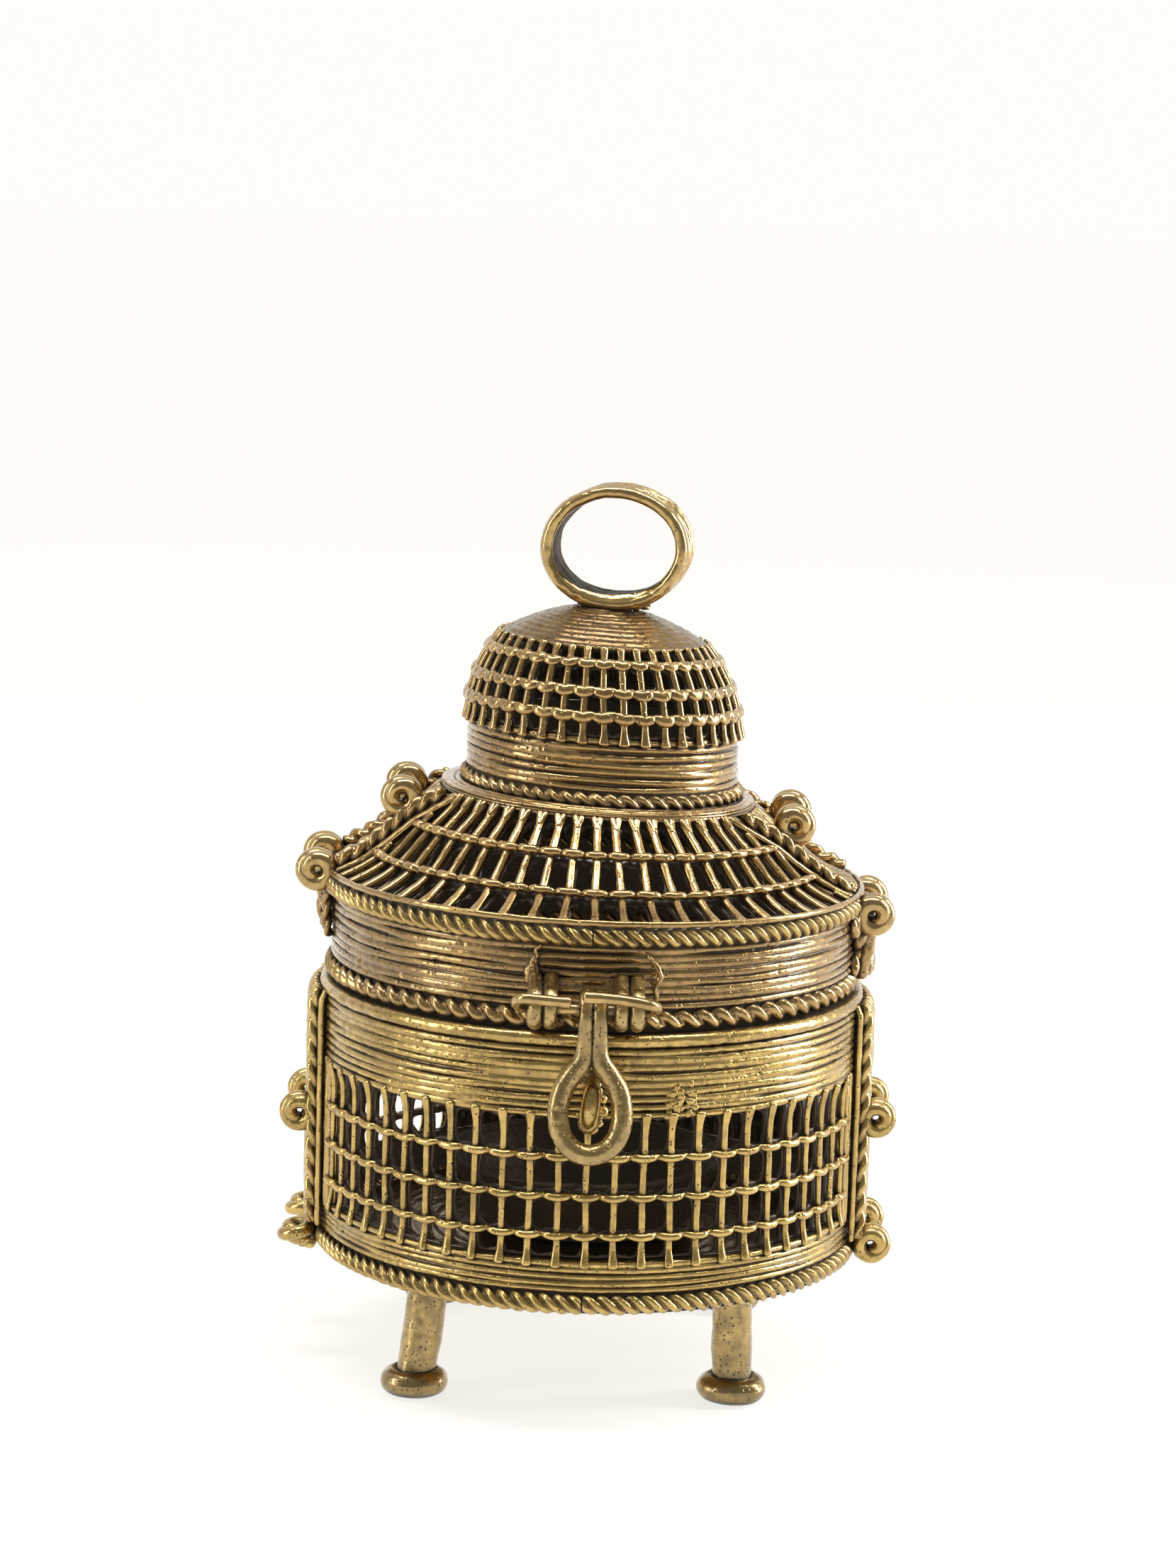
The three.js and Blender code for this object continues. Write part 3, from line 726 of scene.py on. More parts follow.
def bar(piece, surface, angle, t0, t1, radius, lift, seed, foot, head, lay, flat=0.8, spread=2.2):
    """An upright bar whose flattened ends lie over what is below and above it."""
    t = np.linspace(t0, t1, 34)
    lean = 0.16 * wave(t, 9.0, seed) + 0.12 * wave([seed * 3.7], 1.0, 5)[0]
    r = np.linalg.norm(surface(angle, (t0 + t1) / 2, 0.0)[:2])
    low = bump(t, t0, spread)
    high = bump(t, t1, spread)
    depth = -lift - lay * (low + high)
    path = surface(angle + np.degrees(lean / r), t, depth)
    out = unit(path - surface(angle, t, depth + 1.0))
    gauge = radius * (1 + (foot - 1) * low + (head - 1) * high + 0.07 * wave(t, 1.6, seed + 1))
    thin = flat * (1 - 0.35 * (low + high))
    wire(piece, path, gauge, count=34, out=out, flat=thin, blunt=0.7,
         rough=skin(0.04, 1.1, 0.07, seed))


# ---- the body ----

_, BODY_R, GRILLE_LOW, GRILLE_HIGH = turned_box("openwork_wall_front")
BODY_STEP, CONE_STEP, DOME_STEP = 360 / BODY_PITCHES, 360 / CONE_PITCHES, 360 / DOME_PITCHES
STRIP_WIRES = (71.6, 73.3, 75.2, 81.3, 83.2, 85.1, 87.0, 88.9)  # degrees from the front
SEAM = 89.75  # where the front half of a wall ends


def body_surface(angle, t, depth):
    return around(angle, BODY_R - depth, t)


def side_wire(piece, surface, start, sign, offset, t, gauge, lift, k, seed, lumps):
    """The k-th wire up a side strip, at an angle from the front or the back."""
    angle = start + sign * (offset + 0.35 * wave(t, 8.0, seed + 7 * k))
    path, out = laid(surface, angle, t, -lift - 0.12 * wave(t, 5.0, seed + k))
    wire(piece, path, gauge * (1 + 0.1 * wave(t, 4.0, k)), count=70, out=out, flat=0.8,
         rough=skin(lumps, 1.4, 0.12, seed + k))


def openwork_wall(end, start, seed):
    piece = Piece("openwork_wall_" + end)
    half = OPEN_COLUMNS // 2
    for i in range(-half, half + 1):
        angle = start + i * BODY_STEP
        bar(piece, body_surface, angle, GRILLE_LOW - 1.3, GRILLE_HIGH + 1.2, 0.66, -0.35,
            seed + i, foot=1.45, head=1.5, lay=0.85)
    for k, z in enumerate(WOVEN_Z):
        woven(piece, body_surface, z, start, BODY_STEP, -half - 0.6, half + 0.6, 0.74, 0.42, 0.75,
              seed + 50 + k)
    angles = start + BODY_STEP * np.arange(-half, half + 1)
    rows = np.array([GRILLE_LOW + 0.4, *WOVEN_Z, GRILLE_HIGH + 0.3])
    web(piece, body_surface, angles, rows, (1.1, 1.9), hole=(0.40, 0.41), ragged=0.12, seed=seed,
        closed=lambda i, j: end == "back" and j < 2 and i < 18)
    heights = np.linspace(GRILLE_LOW - 0.2, GRILLE_HIGH + 0.6, 60)
    for sign in (-1, 1):
        strip = np.linspace(start + sign * (half * BODY_STEP - 0.4), start + sign * SEAM, 30)
        panel(piece, body_surface, strip, heights, (0.25, 1.7), rough=0.12, seed=seed + 90)
    t = np.linspace(GRILLE_LOW - 1.5, GRILLE_HIGH + 1.5, 60)
    for sign in (-1, 1):
        for k, offset in enumerate(STRIP_WIRES):
            side_wire(piece, body_surface, start, sign, offset, t, 0.86, -0.15, k, seed + 200, 0.07)
    piece.finish()


BAND_OUT = 51.3  # from the axis to the face of the upper band


def rough_patch(piece):
    """Spilt wax on the band, to the right of the hasp."""
    for k in range(34):
        x = 16.6 + 2.6 * hashed(k, 1, 5, 1)
        z = 61.8 + 3.0 * hashed(k, 2, 5, 1)
        spot = [x, -math.sqrt(BAND_OUT**2 - x**2), z]
        blob(piece, spot, 0.62 + 0.2 * hashed(k, 3, 5, 1), seed=k, sides=10, squash=(1.1, 0.5, 1.0),
             lumps=0.4)


def band(name, wires, out, back, drop, rise, seed, pits, look=None, details=()):
    """A band of wound wires. The lengths are how far its faces lie off the CAD's ring."""
    _, radius, low, high = turned_box(name)
    piece = Piece(name, look)
    wound(piece, radius + out, radius - back, low - drop, high + rise, wires, seed=seed, pits=pits)
    for detail in details:
        detail(piece)
    piece.finish()


def rim_lip():
    _, radius, low, high = turned_box("rim_lip")
    inner = radius - 3.4
    middle, half = (low + high) / 2, (high - low) / 2
    outline = arc((radius - half * 1.25, middle), half * 1.15, -75, 75, 15)
    outline += [(r, high + 0.08) for r in np.linspace(radius - 1.6, inner, 8)]
    outline += [(r, low - 0.1) for r in np.linspace(inner, radius - 1.6, 6)]
    outline = [(min(r, radius), z) for r, z in outline]

    def uneven(angles, points):
        drift = 0.22 * noise(circle(angles, 52), 13.0, 3)[:, None]
        return points[:, 0] + drift * 0.8, points[:, 1] + 0.5 * drift

    piece = Piece("rim_lip")
    turned(piece, outline, 900, uneven=uneven,
           rough=skin(0.09, 2.2, 0.16, 31))
    piece.finish()


def ring_rope(name, lobes, strands=2, fuller=1.1, backing=(0.0, 0.0), raised=0.0, seed=0):
    """A rope round the box, with a thin dark band behind it that closes the gaps above and below:
    painted shade in those gaps.
    """
    centre, outer, low, high = turned_box(name)
    radius = (high - low) / 2 * fuller
    low, high = low + raised, high + raised
    path = ring_path(outer - radius, (low + high) / 2)
    piece = Piece(name)
    rope(piece, path, radius, lobes, closed=True, strands=strands,
         rough=skin(0.06, 1.5, 0.1, seed))
    behind = outer - radius
    bottom, top = low - backing[0], high + backing[1]
    outline = [(behind, bottom), (behind, top), (behind - 1.4, top), (behind - 1.4, bottom)]
    # painted shade: the band behind the rope takes the dark material
    turned(piece, outline, 200, kind=DARK)
    for points in piece.points:
        points[:, 0] += centre
    piece.finish()


def floor_plate():
    _, radius, low, high = turned_box("floor_plate")
    reach = np.linspace(0.6, radius - 0.1, 60)
    ripple = 0.18 * np.sin(reach * 2.6)
    under = [(r, low + 0.25 + d) for r, d in zip(reach, ripple)]
    above = [(r, high - 0.25 + d) for r, d in zip(reach[::-1], ripple[::-1])]
    piece = Piece("floor_plate")
    turned(piece, under + above, 240, solid=True,
           rough=skin(0.08, 3.0, 0.12, 41))
    piece.finish()


# what runs up the body's sides: degrees from the front or the back, and distance from the axis
ROPE_ANGLE, EDGING_ANGLE, STRAP_ANGLES = 78.0, 75.6, (81.1, 84.0, 87.0, 89.4)
ROPE_OUT, EDGING_OUT, STRAP_OUT = 53.25, 52.3, 53.0
QUARTERS = [(side, end, sign, front) for side, sign in (("left", -1), ("right", 1))
            for end, front in (("front", 1), ("back", -1))]


def from_end(offset, sign, front):
    """The angle that is offset degrees from the front or the back, to the left or the right."""
    return sign * (offset if front > 0 else 180 - offset)


def side_ropes():
    """The ropes up the sides, each with the edging wire beside it and half of the strap of
    smooth wires between the two ropes of its side."""
    for side, end, sign, front in QUARTERS:
        name = f"side_rope_{side}_{end}"
        low, high = box(name)
        z = np.linspace(low[2] - 0.6, high[2] + 1.3, 50)
        inward = 0.9 * step(z[-1] - 2.5, z[-1], z)
        piece = Piece(name)
        path = around(from_end(ROPE_ANGLE, sign, front), ROPE_OUT - inward, z)
        rope(piece, path, 1.35, 12, out=outward(path), hand=sign * front,
             rough=skin(0.1, 1.6, 0.08, 51))
        angle = from_end(EDGING_ANGLE + 0.3 * wave(z, 9.0, 3), sign, front)
        path = around(angle, EDGING_OUT - inward, z)
        wire(piece, path, 0.82, count=70, out=outward(path), flat=0.8,
             rough=skin(0.08, 1.6, 0.1, 52))
        for k, offset in enumerate(STRAP_ANGLES):
            angle = from_end(offset + 0.3 * wave(z, 11.0, 20 + k), sign, front)
            path = around(angle, STRAP_OUT + 0.1 * k - inward, z)
            wire(piece, path, 1.42 * (1 + 0.1 * wave(z, 6.0, k)), sides=14, count=70,
                 out=outward(path), flat=0.75, rough=skin(0.12, 2.2, 0.1, 53 + k))
        piece.finish()


# ---- coil knobs ----


TURNS_IN = 0.7  # of the coil's wire, from the middle of a face to the rim


def coil(piece, centre, radius, thick, gauge, hand, axis, start, seed):
    """A thick wire coiled into a knob: out from the middle of one face, once round the rim and
    across it, and back in to the middle of the other."""
    hold = radius - gauge
    u_in = np.linspace(0, 1, 60)
    spiral_r = 0.45 + (hold - 0.45) * u_in**0.75
    spiral_a = 360 * TURNS_IN * u_in
    spiral_y = np.full(60, -(thick / 2 - gauge)) + 0.35 * (1 - u_in)
    u = np.linspace(0, 1, 70)[1:]
    round_a = 360 * (TURNS_IN + u)
    round_y = -(thick / 2 - gauge) + (thick - 2 * gauge) * step(0, 1, u)
    back_a = round_a[-1] + 360 * TURNS_IN * u_in[1:]
    r = np.concatenate([spiral_r, np.full(69, hold), spiral_r[::-1][1:]])
    a = np.radians(start + hand * np.concatenate([spiral_a, round_a, back_a]))
    y = np.concatenate([spiral_y, round_y, -spiral_y[::-1][1:]])
    r = r * (1 + 0.03 * np.sin(a + seed))
    path = np.stack([r * np.cos(a), y, r * np.sin(a)], -1)
    narrow = 0.6 + 0.4 * u_in**0.8
    fine = np.concatenate([narrow, np.ones(69), narrow[::-1][1:]])
    if axis == "up":
        path = path[:, [0, 2, 1]] * [1, 1, -1]
    wire(piece, path + centre, gauge * fine, sides=18, count=190, blunt=0.8,
         rough=skin(0.07, 2.4, 0.0, seed))


KNOB_SIZES = {"lid": (4.1, 1.62), "body": (3.75, 1.38)}  # radius, and that of its wire


def knobs():
    for name in SLOT_OF:
        if "_knob_" not in name:
            continue
        part, _, side, end, level = name.split("_")
        low, high = box(name)
        sign = -1 if side == "left" else 1
        outer = low[0] if sign < 0 else high[0]
        axis = "up" if part == "body" and side == "left" and level == "lower" else "forward"
        size, gauge = KNOB_SIZES[part]
        z = (low[2] + high[2]) / 2 if axis == "up" else high[2] - 4.0
        centre = np.array([outer - sign * (size + 0.15), (low[1] + high[1]) / 2, z])
        piece = Piece(name)
        coil(piece, centre, size, 5.0, gauge, hand=sign, axis=axis,
             start=-60 if sign < 0 else 240, seed=hash_of(name))
        anchor = centre - np.array([sign * 2.2, 0, 1.2])
        for k in range(5):
            spot = anchor + 0.8 * np.array([wave([k + hash_of(name)], 1.0, j)[0] for j in range(3)])
            blob(piece, spot, 1.2, seed=k)
        piece.finish()


def hash_of(name):
    """A seed of its own for each name."""
    return sum(ord(c) * (i + 1) for i, c in enumerate(name)) % 97


def blob(piece, centre, radius, seed=0, sides=14, squash=(1, 1, 1), lumps=0.25):
    """A lump left by soft wax pressed into a join."""
    la = np.radians(np.linspace(-90, 90, sides)[1:-1])[:, None]
    lo = full_turn(2 * sides)[None]
    p = np.stack([np.cos(la) * np.cos(lo), np.cos(la) * np.sin(lo), np.sin(la) + 0 * lo], -1)
    poles = np.array([[0, 0, -1.0], [0, 0, 1.0]])
    points = np.concatenate([p.reshape(-1, 3), poles])
    points = points * (1 + lumps * noise(points * radius + centre, 0.9 * radius, seed))[:, None]
    points = points * radius * np.array(squash) + centre
    rows, cols = p.shape[:2]
    piece.add(points, [grid_faces(rows, cols, False, True), *end_fans(rows, cols)])


# ---- legs and feet ----


def leg(corner):
    """A post that stands in its foot and leans a little, to reach its place under the box."""
    name, seed = "leg_" + corner, hash_of(corner)
    low, high = box(name)
    foot_low, foot_high = box("foot_" + corner)
    bottom = ((foot_low + foot_high) / 2)[:2]
    top = (high + low)[:2] - bottom
    path = spline([[*bottom, 2.0], [*(bottom + top) / 2, high[2] / 2], [*top, high[2] + 1.0]], 60)
    z = path[:, 2]
    radius = 3.75 + 0.5 * bump(z, high[2], 2.0) + 0.15 * wave(z, 5.0, seed)
    piece = Piece(name, OLIVE)
    wire(piece, path, radius, sides=40, count=60, blunt=0.3, rough=skin(0.14, 3.4, 0.07, seed))
    piece.finish()


def foot(corner):
    """A thick ring that lies flat on the ground, filled in the middle."""
    name, seed = "foot_" + corner, hash_of(corner)
    low, high = box(name)
    outer, top = (high - low)[0] / 2, high[2]
    tube = top / 2
    outline = [(r, max(z, 0.0)) for r, z in arc((outer - tube * 1.02, tube), tube, -90, 90, 22)]
    outline += [(3.4, top - 0.7), (2.4, top - 0.8), (2.4, 0.5), (3.4, 0.25)]

    def uneven(angles, points):
        swell = 0.3 * noise(circle(angles, outer), 6.0, seed)[:, None]
        r = points[:, 0] + swell * (points[:, 0] > 4)
        return np.minimum(r, outer + 0.25), points[:, 1]

    piece = Piece(name, OLIVE)
    turned(piece, outline, 96, uneven=uneven)
    points = piece.points[0]
    rough = 0.1 * noise(points, 2.2, seed)
    points[:, :2] *= 1 + rough[:, None] / 6
    points[:, 2] = np.maximum(points[:, 2] + rough * (points[:, 2] > 0.4), 0)
    points[:, :2] += ((low + high) / 2)[:2]
    piece.finish()


# ---- the lid ----

CONE_LINE = smooth_outline(CONE, 40)
DOME_LINE = smooth_outline(DOME, 40)
CONE_EDGE = (50.75, 93.75)  # radius and height of the wire along the cone's foot
CONE_HALF = 11  # open cells from the middle of the cone's front to its side strips


STRAP_ROPES = ((81.5, 51.0, 81.0, 90.6), (85.2, 51.6, 82.4, 91.4), (88.6, 51.9, 83.0, 91.4))


def lid_straps(piece):
    """What crosses the lid's band at its two sides: short ropes, and a rough mass of wax."""
    for front in (1, -1):
        for k, (angle, reach, bottom, top) in enumerate(STRAP_ROPES):
            z = np.linspace(bottom, top, 30)
            angle = from_end(angle - 0.6 * wave(z, 5.0, k), -1, front)
            path = around(angle, reach - 0.6 * step(bottom + 2, bottom, z), z)
            rope(piece, path, 1.3, 3, out=outward(path), flat=0.85, rough=skin(0.12, 1.6, 0.08, k))
        for k, angle in enumerate((83.5, 86.3, 89.0)):
            z = np.linspace(76.0, 91.5, 40)
            angle = from_end(angle + 0.9 * wave(z, 5.0, 30 + k), 1, front)
            path = around(angle, 52.0 + 0.3 * k + 0.6 * wave(z, 6.0, k), z)
            wire(piece, path, 1.45 * (1 + 0.25 * wave(z, 3.0, 40 + k)), sides=16, count=60,
                 out=outward(path), rough=skin(0.25, 1.6, 0.15, k))
        for k in range(16):
            spot = around(from_end(81.5 + 5.0 * hashed(k, 1, 1, 1), 1, front),
                          50.6 + 0.5 * hashed(k, 2, 2, 2), 83.0 + 6.5 * hashed(k, 3, 3, 3))
            blob(piece, spot, 1.5 + 0.5 * hashed(k, 4, 4, 4), seed=k, squash=(0.8, 1.1, 1.3),
                 lumps=0.4)


def casting_flaws(piece):
    """Flash and a curl of wax left on the lid's band beside the latch."""
    for k in range(7):
        spot = [-10.4 + 0.8 * hashed(k, 6, 1, 1), -49.8, 83.9 + 0.45 * k]
        blob(piece, spot, 1.25 - 0.1 * k, seed=k, sides=14, squash=(0.7, 0.6, 1.4), lumps=0.5)
    seam = spline([[-10.6, -49.6, 86.4], [-9.9, -49.8, 87.4], [-10.2, -49.9, 88.4],
                   [-9.2, -50.2, 89.4]], 30)
    wire(piece, seam, 0.34, sides=10, count=40, rough=skin(0.1, 0.8, seed=6))
    curl = spline([[9.6, -49.6, 88.2], [11.2, -50.6, 86.6], [12.0, -50.7, 84.6],
                   [11.3, -50.3, 82.6], [11.6, -49.7, 80.6], [11.4, -49.2, 79.0]], 60)
    wire(piece, curl, np.interp(curl[:, 2], [79, 84, 88.2], [0.25, 0.6, 0.35]), count=60,
         rough=skin(0.1, 0.9, seed=5))


COLLAR_HOLE = 23.6  # radius


def collar_and_drum():
    _, radius, low, high = turned_box("cone_collar")
    piece = Piece("cone_collar")
    wound(piece, radius - 0.05, radius - 2.6, low - 0.1, high + 0.3, 3, segments=600, seed=43)
    for k, (inset, rise) in enumerate(((1.9, 0.25), (3.4, 0.35))):
        path = ring_path(radius - inset, high - 0.35 + rise)
        wire(piece, path, 0.86, closed=True, out=(0, 0, 1), flat=0.8,
             rough=skin(0.08, 1.6, 0.12, 44 + k))
    outline = [(radius - 1, low + 0.2), (radius - 1, high),
               (COLLAR_HOLE, high), (COLLAR_HOLE, low + 0.2)]
    turned(piece, outline, 180, kind=DARK)
    piece.finish()
    centre, radius, low, high = turned_box("dome_drum")
    piece = Piece("dome_drum")
    wound(piece, radius + 0.1, radius - 1.9, low - 0.25, high + 0.2, 7, segments=640,
          centre=centre, seed=47, pits=0.14)
    piece.finish()


CONE_KNOTS = lengths(CONE_LINE)[[np.argmin(abs(CONE_LINE[:, 1] - z)) for z in CONE[:, 1]]]
RIDGE_ANGLES = {-1: (78, 78, 74, 66), 1: (76, 76, 70, 60)}  # left and right, at those knots
FORK_RADIUS = 31  # of the cone where its bars part
EDGING = 3.3  # from the middle of such a rope to the openwork


def ridge_angle(sign, t):
    """Degrees from the front, or from the back, to the rope that edges the strip of one side."""
    return np.interp(t, CONE_KNOTS, RIDGE_ANGLES[sign])


def strip_angle(sign, t):
    """And to the edge of the openwork beside it."""
    radius = np.interp(t, lengths(CONE_LINE), CONE_LINE[:, 0])
    return ridge_angle(sign, t) - np.degrees(EDGING / radius)


def fork(piece, surface, angle, length, seed):
    """The two short wires that a bar of the cone parts into at its top."""
    t = np.linspace(length - 2.6, length + 0.8, 12)
    away = 0.6 * step(t[0], t[-1], t)
    for side in (-1, 1):
        path = surface(angle + side * np.degrees(away / FORK_RADIUS), t, -0.2 - 0.25 * away)
        wire(piece, path, 0.55 + 0.18 * away, sides=10, count=12, out=unit(path * [1, 1, 0.8]),
             flat=0.7, rough=skin(0.05, 1.0, 0.05, seed))


def openwork_cone(end, start, seed):
    surface = profile_surface(CONE_LINE)
    length = CONE_KNOTS[-1]
    front = 1 if end == "front" else -1
    climb = np.linspace(0, length, 60)
    piece = Piece("openwork_cone_" + end)
    for i in range(-CONE_HALF, CONE_HALF + 1):
        angle = start + i * CONE_STEP
        clear = climb[strip_angle(front if i >= 0 else -front, climb) > abs(i) * CONE_STEP]
        if len(clear) < 8:
            continue
        top = clear[-1] + 0.7
        bar(piece, surface, angle, 0.1, top, 0.82, -0.4, seed + i, foot=1.1, head=1.3, lay=0.4,
            flat=0.95)
        if top >= length:
            fork(piece, surface, angle, length, seed + i)
    for k, t in enumerate(CONE_KNOTS[1:3]):
        woven(piece, surface, t, start, CONE_STEP, -strip_angle(-front, t) / CONE_STEP,
              strip_angle(front, t) / CONE_STEP, 0.86, 0.55, 0.85, seed + 60 + k)
    path = ring_path(*CONE_EDGE, start - SEAM, start + SEAM)
    wire(piece, path, 0.6, out=outward(path), flat=0.8,
         rough=skin(0.08, 1.6, 0.1, seed))
    angles = start + CONE_STEP * np.arange(-CONE_HALF, CONE_HALF + 1)
    rows = np.array([0.0, *CONE_KNOTS[1:3], length])

    def never_opened(i, j):
        column = i + 0.5 - CONE_HALF
        edge = strip_angle(front if column > 0 else -front, (rows[j] + rows[j + 1]) / 2)
        return abs(column) * CONE_STEP > edge - 4 or (end == "back" and j < 2)

    web(piece, surface, angles, rows, (1.25, 1.9), hole=(0.37, 0.41), ragged=0.3, squareness=3.0,
        seed=seed, closed=never_opened)
    for sign in (-1, 1):
        strip = np.linspace(start + sign * (CONE_HALF * CONE_STEP - 0.5), start + sign * SEAM, 26)
        panel(piece, surface, strip, np.linspace(-0.2, length + 0.2, 60), (0.4, 1.8), rough=0.15,
              seed=seed + 91)
        t = np.linspace(0.2, length + 0.3, 60)
        edge = strip_angle(sign * front, t) + 0.8
        strap = 90 - edge
        wires = [(edge, 0.85, 0.35), (edge + 3.0, 0.8, 0.1)]
        wires += [(90 - strap * share, 1.1, -0.1) for share in (0.03, 0.19, 0.35, 0.51)]
        for k, (offset, gauge, lift) in enumerate(wires):
            side_wire(piece, surface, start, sign, offset, t, gauge, lift, k, seed, 0.08)
    piece.finish()


def ridge_ropes():
    surface = profile_surface(CONE_LINE)
    t = np.linspace(1.0, CONE_KNOTS[-1] - 0.6, 60)
    for side, end, sign, front in QUARTERS:
        path, out = laid(surface, from_end(ridge_angle(sign, t), sign, front), t, -1.45)
        piece = Piece(f"ridge_rope_{side}_{end}")
        rope(piece, path, 1.7, 8, out=out, hand=sign * front, rough=skin(0.08, 1.4, 0.08, 57))
        piece.finish()


def openwork_dome():
    centre = turned_box("openwork_dome")[0]
    surface = profile_surface(DOME_LINE, centre, DOME_LEAN)
    line = lengths(DOME_LINE)
    length = line[-1]
    knots = [line[np.argmin(abs(DOME_LINE[:, 1] - z))] for z in DOME[1:4, 1]]
    piece = Piece("openwork_dome")
    for i in range(DOME_PITCHES):
        angle = i * DOME_STEP
        bar(piece, surface, angle, -1.6, length - 0.4, 0.68, -0.5, 500 + i, foot=1.6, head=1.15,
            lay=0.5, spread=1.7)
    for k, (t, gauge) in enumerate(zip(knots, (1.05, 1.05, 1.0))):
        woven(piece, surface, t - 0.1, 0.0, DOME_STEP, 0, DOME_PITCHES, gauge, -0.1, 0.2, 560 + k,
              closed=True, sag=0.26, flat=0.6)
    angles = DOME_STEP * np.arange(DOME_PITCHES + 1)
    web(piece, surface, angles, np.array([0.0, *knots, length]), (1.0, 1.7), hole=(0.35, 0.38),
        ragged=0.25, squareness=2.6, seed=570,
        closed=lambda i, j: j < 3 and abs((i + 0.5) * DOME_STEP - 180) < 95)
    piece.finish()


CAP_TOP, CAP_FALL = 145.2, 0.0158  # its height in the middle, and its fall by radius squared
CAP_WIRE = 1.42  # from one turn of its coiled wire to the next


def dome_cap():
    centre, radius, low, high = turned_box("dome_cap")
    radius += 0.6
    reach = np.linspace(0.6, radius, 140)
    top = CAP_TOP - CAP_FALL * reach**2
    coils = np.abs(np.sin(np.pi * reach / CAP_WIRE)) ** 0.6 - 0.7
    ripple = 0.34 * coils * step(0.5, 5, reach)
    above = [(r, z + d - 0.2) for r, z, d in zip(reach, top, ripple)]
    edge = [(radius + 0.15, low - 1.1), (radius - 0.3, low - 1.7)]
    under = [(r, low - 1.7 + 2.5 * (1 - r / radius)) for r in np.linspace(radius - 1, 0.6, 20)]
    outline = (above + edge + under)[::-1]

    def uneven(angles, points):
        drift = 0.35 * noise(circle(angles, 16), 8.0, 61)[:, None]
        r = points[:, 0] + drift * np.minimum(points[:, 0] / 6, 1)
        return np.clip(r, 0.3, radius + 0.2), points[:, 1]

    piece = Piece("dome_cap", DULL)
    turned(piece, outline, 320, centre=centre + DOME_LEAN, uneven=uneven, solid=True,
           rough=skin(0.08, 1.5, 0.12, 63))
    piece.finish()


# ---- the ring on top ----

RING_TURN = -9  # degrees, seen from above


def ring_handle():
    low, high = box("ring_handle")
    centre = np.array([(low[0] + high[0]) / 2, 0, high[2] - 11.8])
    wide, tall = 12.6, 10.55  # half its width and height, to the middle of the band
    half, edge = 5.5, 1.1  # half the band's own width, and the radius of its rounded edges
    a = full_turn(300)
    bow = 1 + 0.012 * np.sin(2 * a + 0.6)
    path = np.stack([wide * bow * np.cos(a), 0 * a, tall * np.sin(a)], -1)
    out = np.stack([np.cos(a) / wide, 0 * a, np.sin(a) / tall], -1)
    across = np.linspace(edge - half, half - edge, 41)
    groove = 0.33 * np.cos(2 * np.pi * across / 2.05) - 0.16
    rim = np.radians(np.linspace(90, -90, 11)[1:-1])
    right = np.stack([1.12 * np.sin(rim), half - edge + edge * np.cos(rim)], -1)
    inside = np.stack([np.full(15, -edge), np.linspace(across[-1], across[0], 15)], -1)
    inside[:, 0] -= 0.08 * np.cos(inside[:, 1] * 1.1)
    left = right[::-1] * [1, -1]
    outside = np.stack([1.12 + groove, across], -1)
    outline = np.concatenate([outside, right, inside, left])
    section = np.broadcast_to(outline, (len(a), len(outline), 2)).copy()
    places = path[:, None] + [0, 1, 0] * outline[None, :, 1:]
    section[..., 1] += 0.175 * noise(places, 7.0, 71)
    section[..., 0] += 0.12 * noise(places, 3.2, 73)
    deeper = 0.8 * bump(np.degrees(a), 270, 42)
    section[..., 0] -= deeper[:, None] * (outline[:, 0] < -1)
    # painted shade: the inside face of the ring takes the dark material
    kinds = np.zeros(len(outline), int)
    kinds[len(outside) + len(right):-len(left)] = DARK
    piece = Piece("ring_handle")
    sweep(piece, path, section, closed=True, out=out, kind=np.tile(kinds, len(a)),
          rough=skin(0.12, 2.6, 0.1, 75))
    piece.turn(RING_TURN, "Z", centre)
    foot = centre * [1, 1, 0] + [0, 0, low[2]]
    blob(piece, foot + [0, 0, 1.0], 5.6, seed=3, sides=40, squash=(1.0, 0.8, 0.25), lumps=0.14)
    blob(piece, foot + [-5.4, -1.0, 0.7], 1.7, seed=6, sides=20, squash=(1.2, 0.9, 0.45))
    blob(piece, foot + [5.2, 1.0, 0.7], 1.6, seed=8, sides=20, squash=(1.0, 1.2, 0.5))
    for k in range(9):
        angle = 40 * k + 20 * hashed(k, 1, 2, 5)
        spot = foot + around(angle, 4.0 + 0.4 * hashed(k, 4, 2, 9), 0.15)
        blob(piece, spot, 0.55 + 0.12 * hashed(k, 2, 2, 7), seed=k, sides=10)
    piece.finish()


# ---- hasp, staple and hinge ----


def wrap(centre, radius, start, end, count=12):
    """Points round an axis along X, from start to end degrees, from -Y towards +Z."""
    a = np.radians(np.linspace(start, end, count))
    return [[0, centre[1] - radius * math.cos(t), centre[2] + radius * math.sin(t)] for t in a]


def eye_wires(piece, centre, radius, wire_radius, xs, low_end, high_end, seed):
    """Wires that come out of the wall, go round a pin and go back in, one at each x."""
    for k, x in enumerate(xs):
        points = [*low_end, *wrap(centre, radius, -80, 95), *high_end]
        path = spline(np.array(points, float) * [0, 1, 1] + [x, 0, 0], 60)
        path[:, 2] += 0.12 * np.maximum(path[:, 2] - centre[2], 0)
        path[:, 0] += 0.15 * wave(path[:, 1] + path[:, 2], 4.0, seed + k)
        wire(piece, path, wire_radius * (1 + 0.06 * wave(path[:, 1] + path[:, 2], 3.0, k)),
             sides=20, count=60, out=(1, 0, 0),
             rough=skin(0.08, 1.8, 0.08, seed + k))


